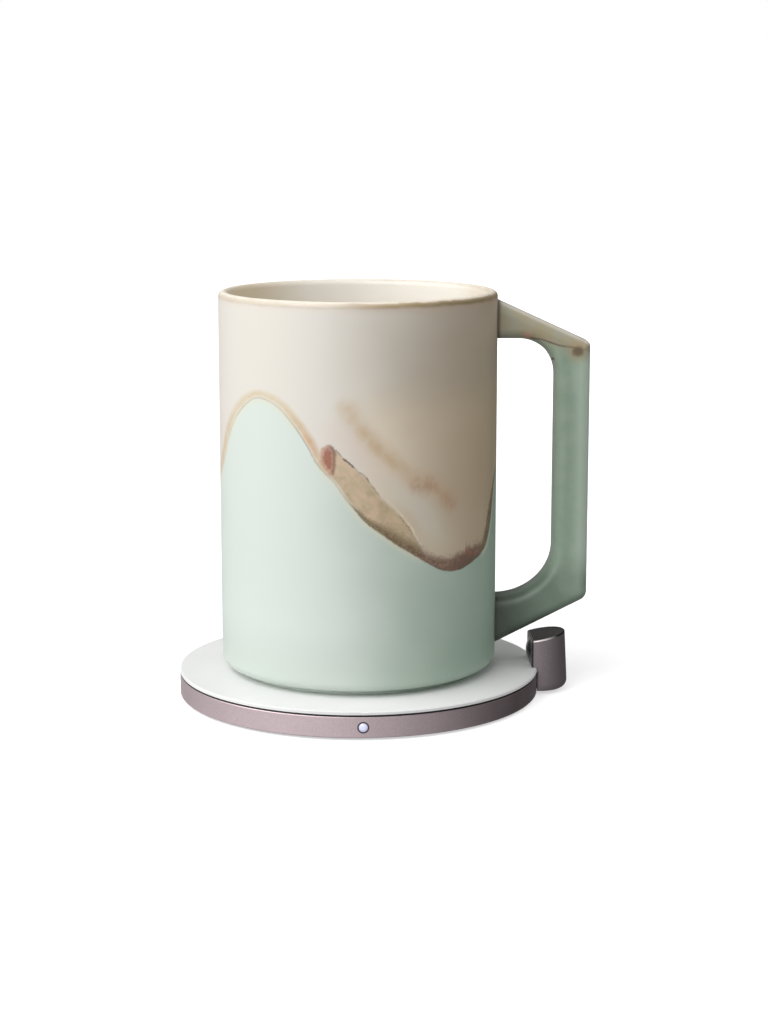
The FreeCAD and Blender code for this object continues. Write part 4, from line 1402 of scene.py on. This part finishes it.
@dataclass
class PushButton:
    """The lit push button at the front of the ring."""

    lens: LampFinish = LampFinish()

    def build(self) -> None:
        """Dress the button and its dark surround."""
        dress(self.lens.material(), "button_cap")
        dress(GlossFinish("button_surround", (0.045, 0.04, 0.045), 0.3).material(), "button_bezel")


@dataclass
class SensorTower:
    """The small post at the edge of the disc, with a window that looks at the mug."""

    shell: PostFinish = PostFinish()

    def build(self) -> None:
        """Dress the tower's shell, cap, window and seal."""
        dress(self.shell.material(), "tower_shell")
        dress(GlossFinish("dark_cap", (0.030, 0.027, 0.025), 0.45, 0.0).material(), "tower_cap")
        dress(GlossFinish("dark_window", (0.016, 0.018, 0.018), 0.1).material(), "tower_window")
        dress(MouldedFinish("seal_rubber", (0.02, 0.02, 0.02), 0.7).material(), "window_seal", "sensor_cable")


@dataclass
class GlazedMug:
    """The mug and its handle, in a two-dip glaze.

    Lengths are in millimetres, and heights are from the table.
    """

    radius: float = 40.0
    wall: float = 3.2
    low: float = 8.3
    high: float = 118.3
    foot_radius: float = 35.5
    foot_height: float = 1.5
    foot_edge: float = 0.4
    foot_inner_edge: float = 0.2
    foot_crease: float = 0.3
    recess_radius: float = 32.0
    recess: float = 0.5
    corner: float = 3.0
    inner_corner: float = 4.0
    floor: float = 5.0
    quarter_steps: int = 100
    row: float = 0.55
    coarse_row: float = 2.6
    least_run: float = 1e-4
    bend_steps: float = 5.0
    weld: float = 0.001
    marks_low: float = 40.0
    marks_high: float = 95.0
    marks: GlazeMarks = GlazeMarks()

    def build(self) -> list[Piece]:
        """Build the wall and dress the handle.

        Returns:
            The new pieces.
        """
        body = self.body()
        dress(HandleGlaze().material(), "mug_handle")
        return [body]

    def body(self) -> Piece:
        """Turn the mug's wall as one shell and store the dip on it.

        Returns:
            The wall's piece.
        """
        mesh = bmesh.new()
        self.profile(mesh)
        bmesh.ops.scale(mesh, vec=(MM, MM, MM), verts=mesh.verts)
        bmesh.ops.spin(mesh, geom=mesh.verts[:] + mesh.edges[:], cent=(0, 0, 0), axis=(0, 0, 1),
                       angle=math.pi / 2, steps=self.quarter_steps)
        for axis in ("X", "Y"):
            bmesh.ops.mirror(mesh, geom=mesh.verts[:] + mesh.edges[:] + mesh.faces[:], axis=axis,
                             merge_dist=self.weld * MM)
        bmesh.ops.remove_doubles(mesh, verts=mesh.verts, dist=self.weld * MM)
        bmesh.ops.recalc_face_normals(mesh, faces=mesh.faces)
        piece = finished("mug_wall", mesh, WallGlaze().material(), Body.MUG)
        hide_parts("mug_body")
        self.lay_marks(piece)
        return piece

    def profile(self, mesh: bmesh.types.BMesh) -> None:
        """Draw half of the mug's section, from the axis under the foot to the axis inside.

        Args:
            mesh: an empty mesh that receives the line.
        """
        under = self.low + self.foot_height
        inside = under + self.floor
        bore = self.radius - self.wall
        lip = self.wall / 2
        corners = (
            (0.0, self.low + self.recess, 0.0),
            (self.recess_radius, self.low + self.recess, 0.0),
            (self.recess_radius + self.recess, self.low, self.foot_inner_edge),
            (self.foot_radius, self.low, self.foot_edge),
            (self.foot_radius, under, self.foot_crease),
            (self.radius, under, self.corner),
            (self.radius, self.marks_low, 0.0),
            (self.radius, self.marks_high, 0.0),
            (self.radius, self.high, lip),
            (bore, self.high, lip),
            (bore, inside, self.inner_corner),
            (0.0, inside, 0.0),
        )
        last = mesh.verts.new((corners[0][0], 0, corners[0][1]))
        for index, (radius, height, bend) in enumerate(corners[1:], start=1):
            corner = Vector((radius, 0, height))
            if bend == 0 or index == len(corners) - 1:
                last = self.run_to(mesh, last, corner)
                continue
            before = Vector((corners[index - 1][0], 0, corners[index - 1][1]))
            after = Vector((corners[index + 1][0], 0, corners[index + 1][1]))
            back = (before - corner).normalized()
            ahead = (after - corner).normalized()
            half = back.angle(ahead) / 2
            reach = bend / math.tan(half)
            last = self.run_to(mesh, last, corner + back * reach)
            centre = corner + (back + ahead).normalized() * (bend / math.sin(half))
            turn = math.pi - 2 * half
            if back.cross(ahead).y > 0:
                turn = -turn
            steps = max(3, round(abs(turn) * self.bend_steps))
            last = carried(mesh, last, centre, turn, Vector(), steps)

    def run_to(self, mesh: bmesh.types.BMesh, last: bmesh.types.BMVert, end: Vector) -> bmesh.types.BMVert:
        """Carry the section on in a straight run, cut into rows.

        Args:
            mesh: the section being drawn.
            last: the vertex to start from.
            end: the point to reach.

        Returns:
            The vertex at the end.
        """
        way = end - last.co
        if way.length < self.least_run:
            return last
        marked = end.x == self.radius and end.z == self.marks_high
        steps = max(1, round(way.length / (self.row if marked else self.coarse_row)))
        return carried(mesh, last, last.co, 0.0, way / steps, steps)

    def lay_marks(self, piece: Piece) -> None:
        """Store on each vertex where it stands among the glaze's marks.

        Args:
            piece: the mug's wall.
        """
        count = len(piece.data.vertices)
        places = np.empty(count * 3)
        piece.data.vertices.foreach_get("co", places)
        x, y, height = places.reshape(-1, 3).T / MM
        marks = self.marks.on_wall(np.degrees(np.arctan2(y, x)), height, self.radius)
        off_axis = np.hypot(x, y)
        lip = self.radius - self.wall / 2
        inside = np.clip((lip - off_axis) / (self.wall / 2), 0, 1)
        marks["inside"] = np.where(height > self.low + self.floor, inside, 0.0)
        for name, values in marks.items():
            made = piece.data.attributes.new(name, "FLOAT", "POINT")
            made.data.foreach_set("value", values.astype(np.float32))


def main() -> None:
    """Build the studio and every sub-assembly in order."""
    logging.basicConfig(level=logging.INFO, format="%(message)s")
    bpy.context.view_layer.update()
    Studio().build()
    for part in (WarmerBase(), HeaterStack(), ControlBoard(), PowerInlet(), PushButton(), SensorTower(),
                 GlazedMug()):
        LOG.info("building %s", type(part).__name__)
        part.build()


if __name__ == "__main__":
    main()
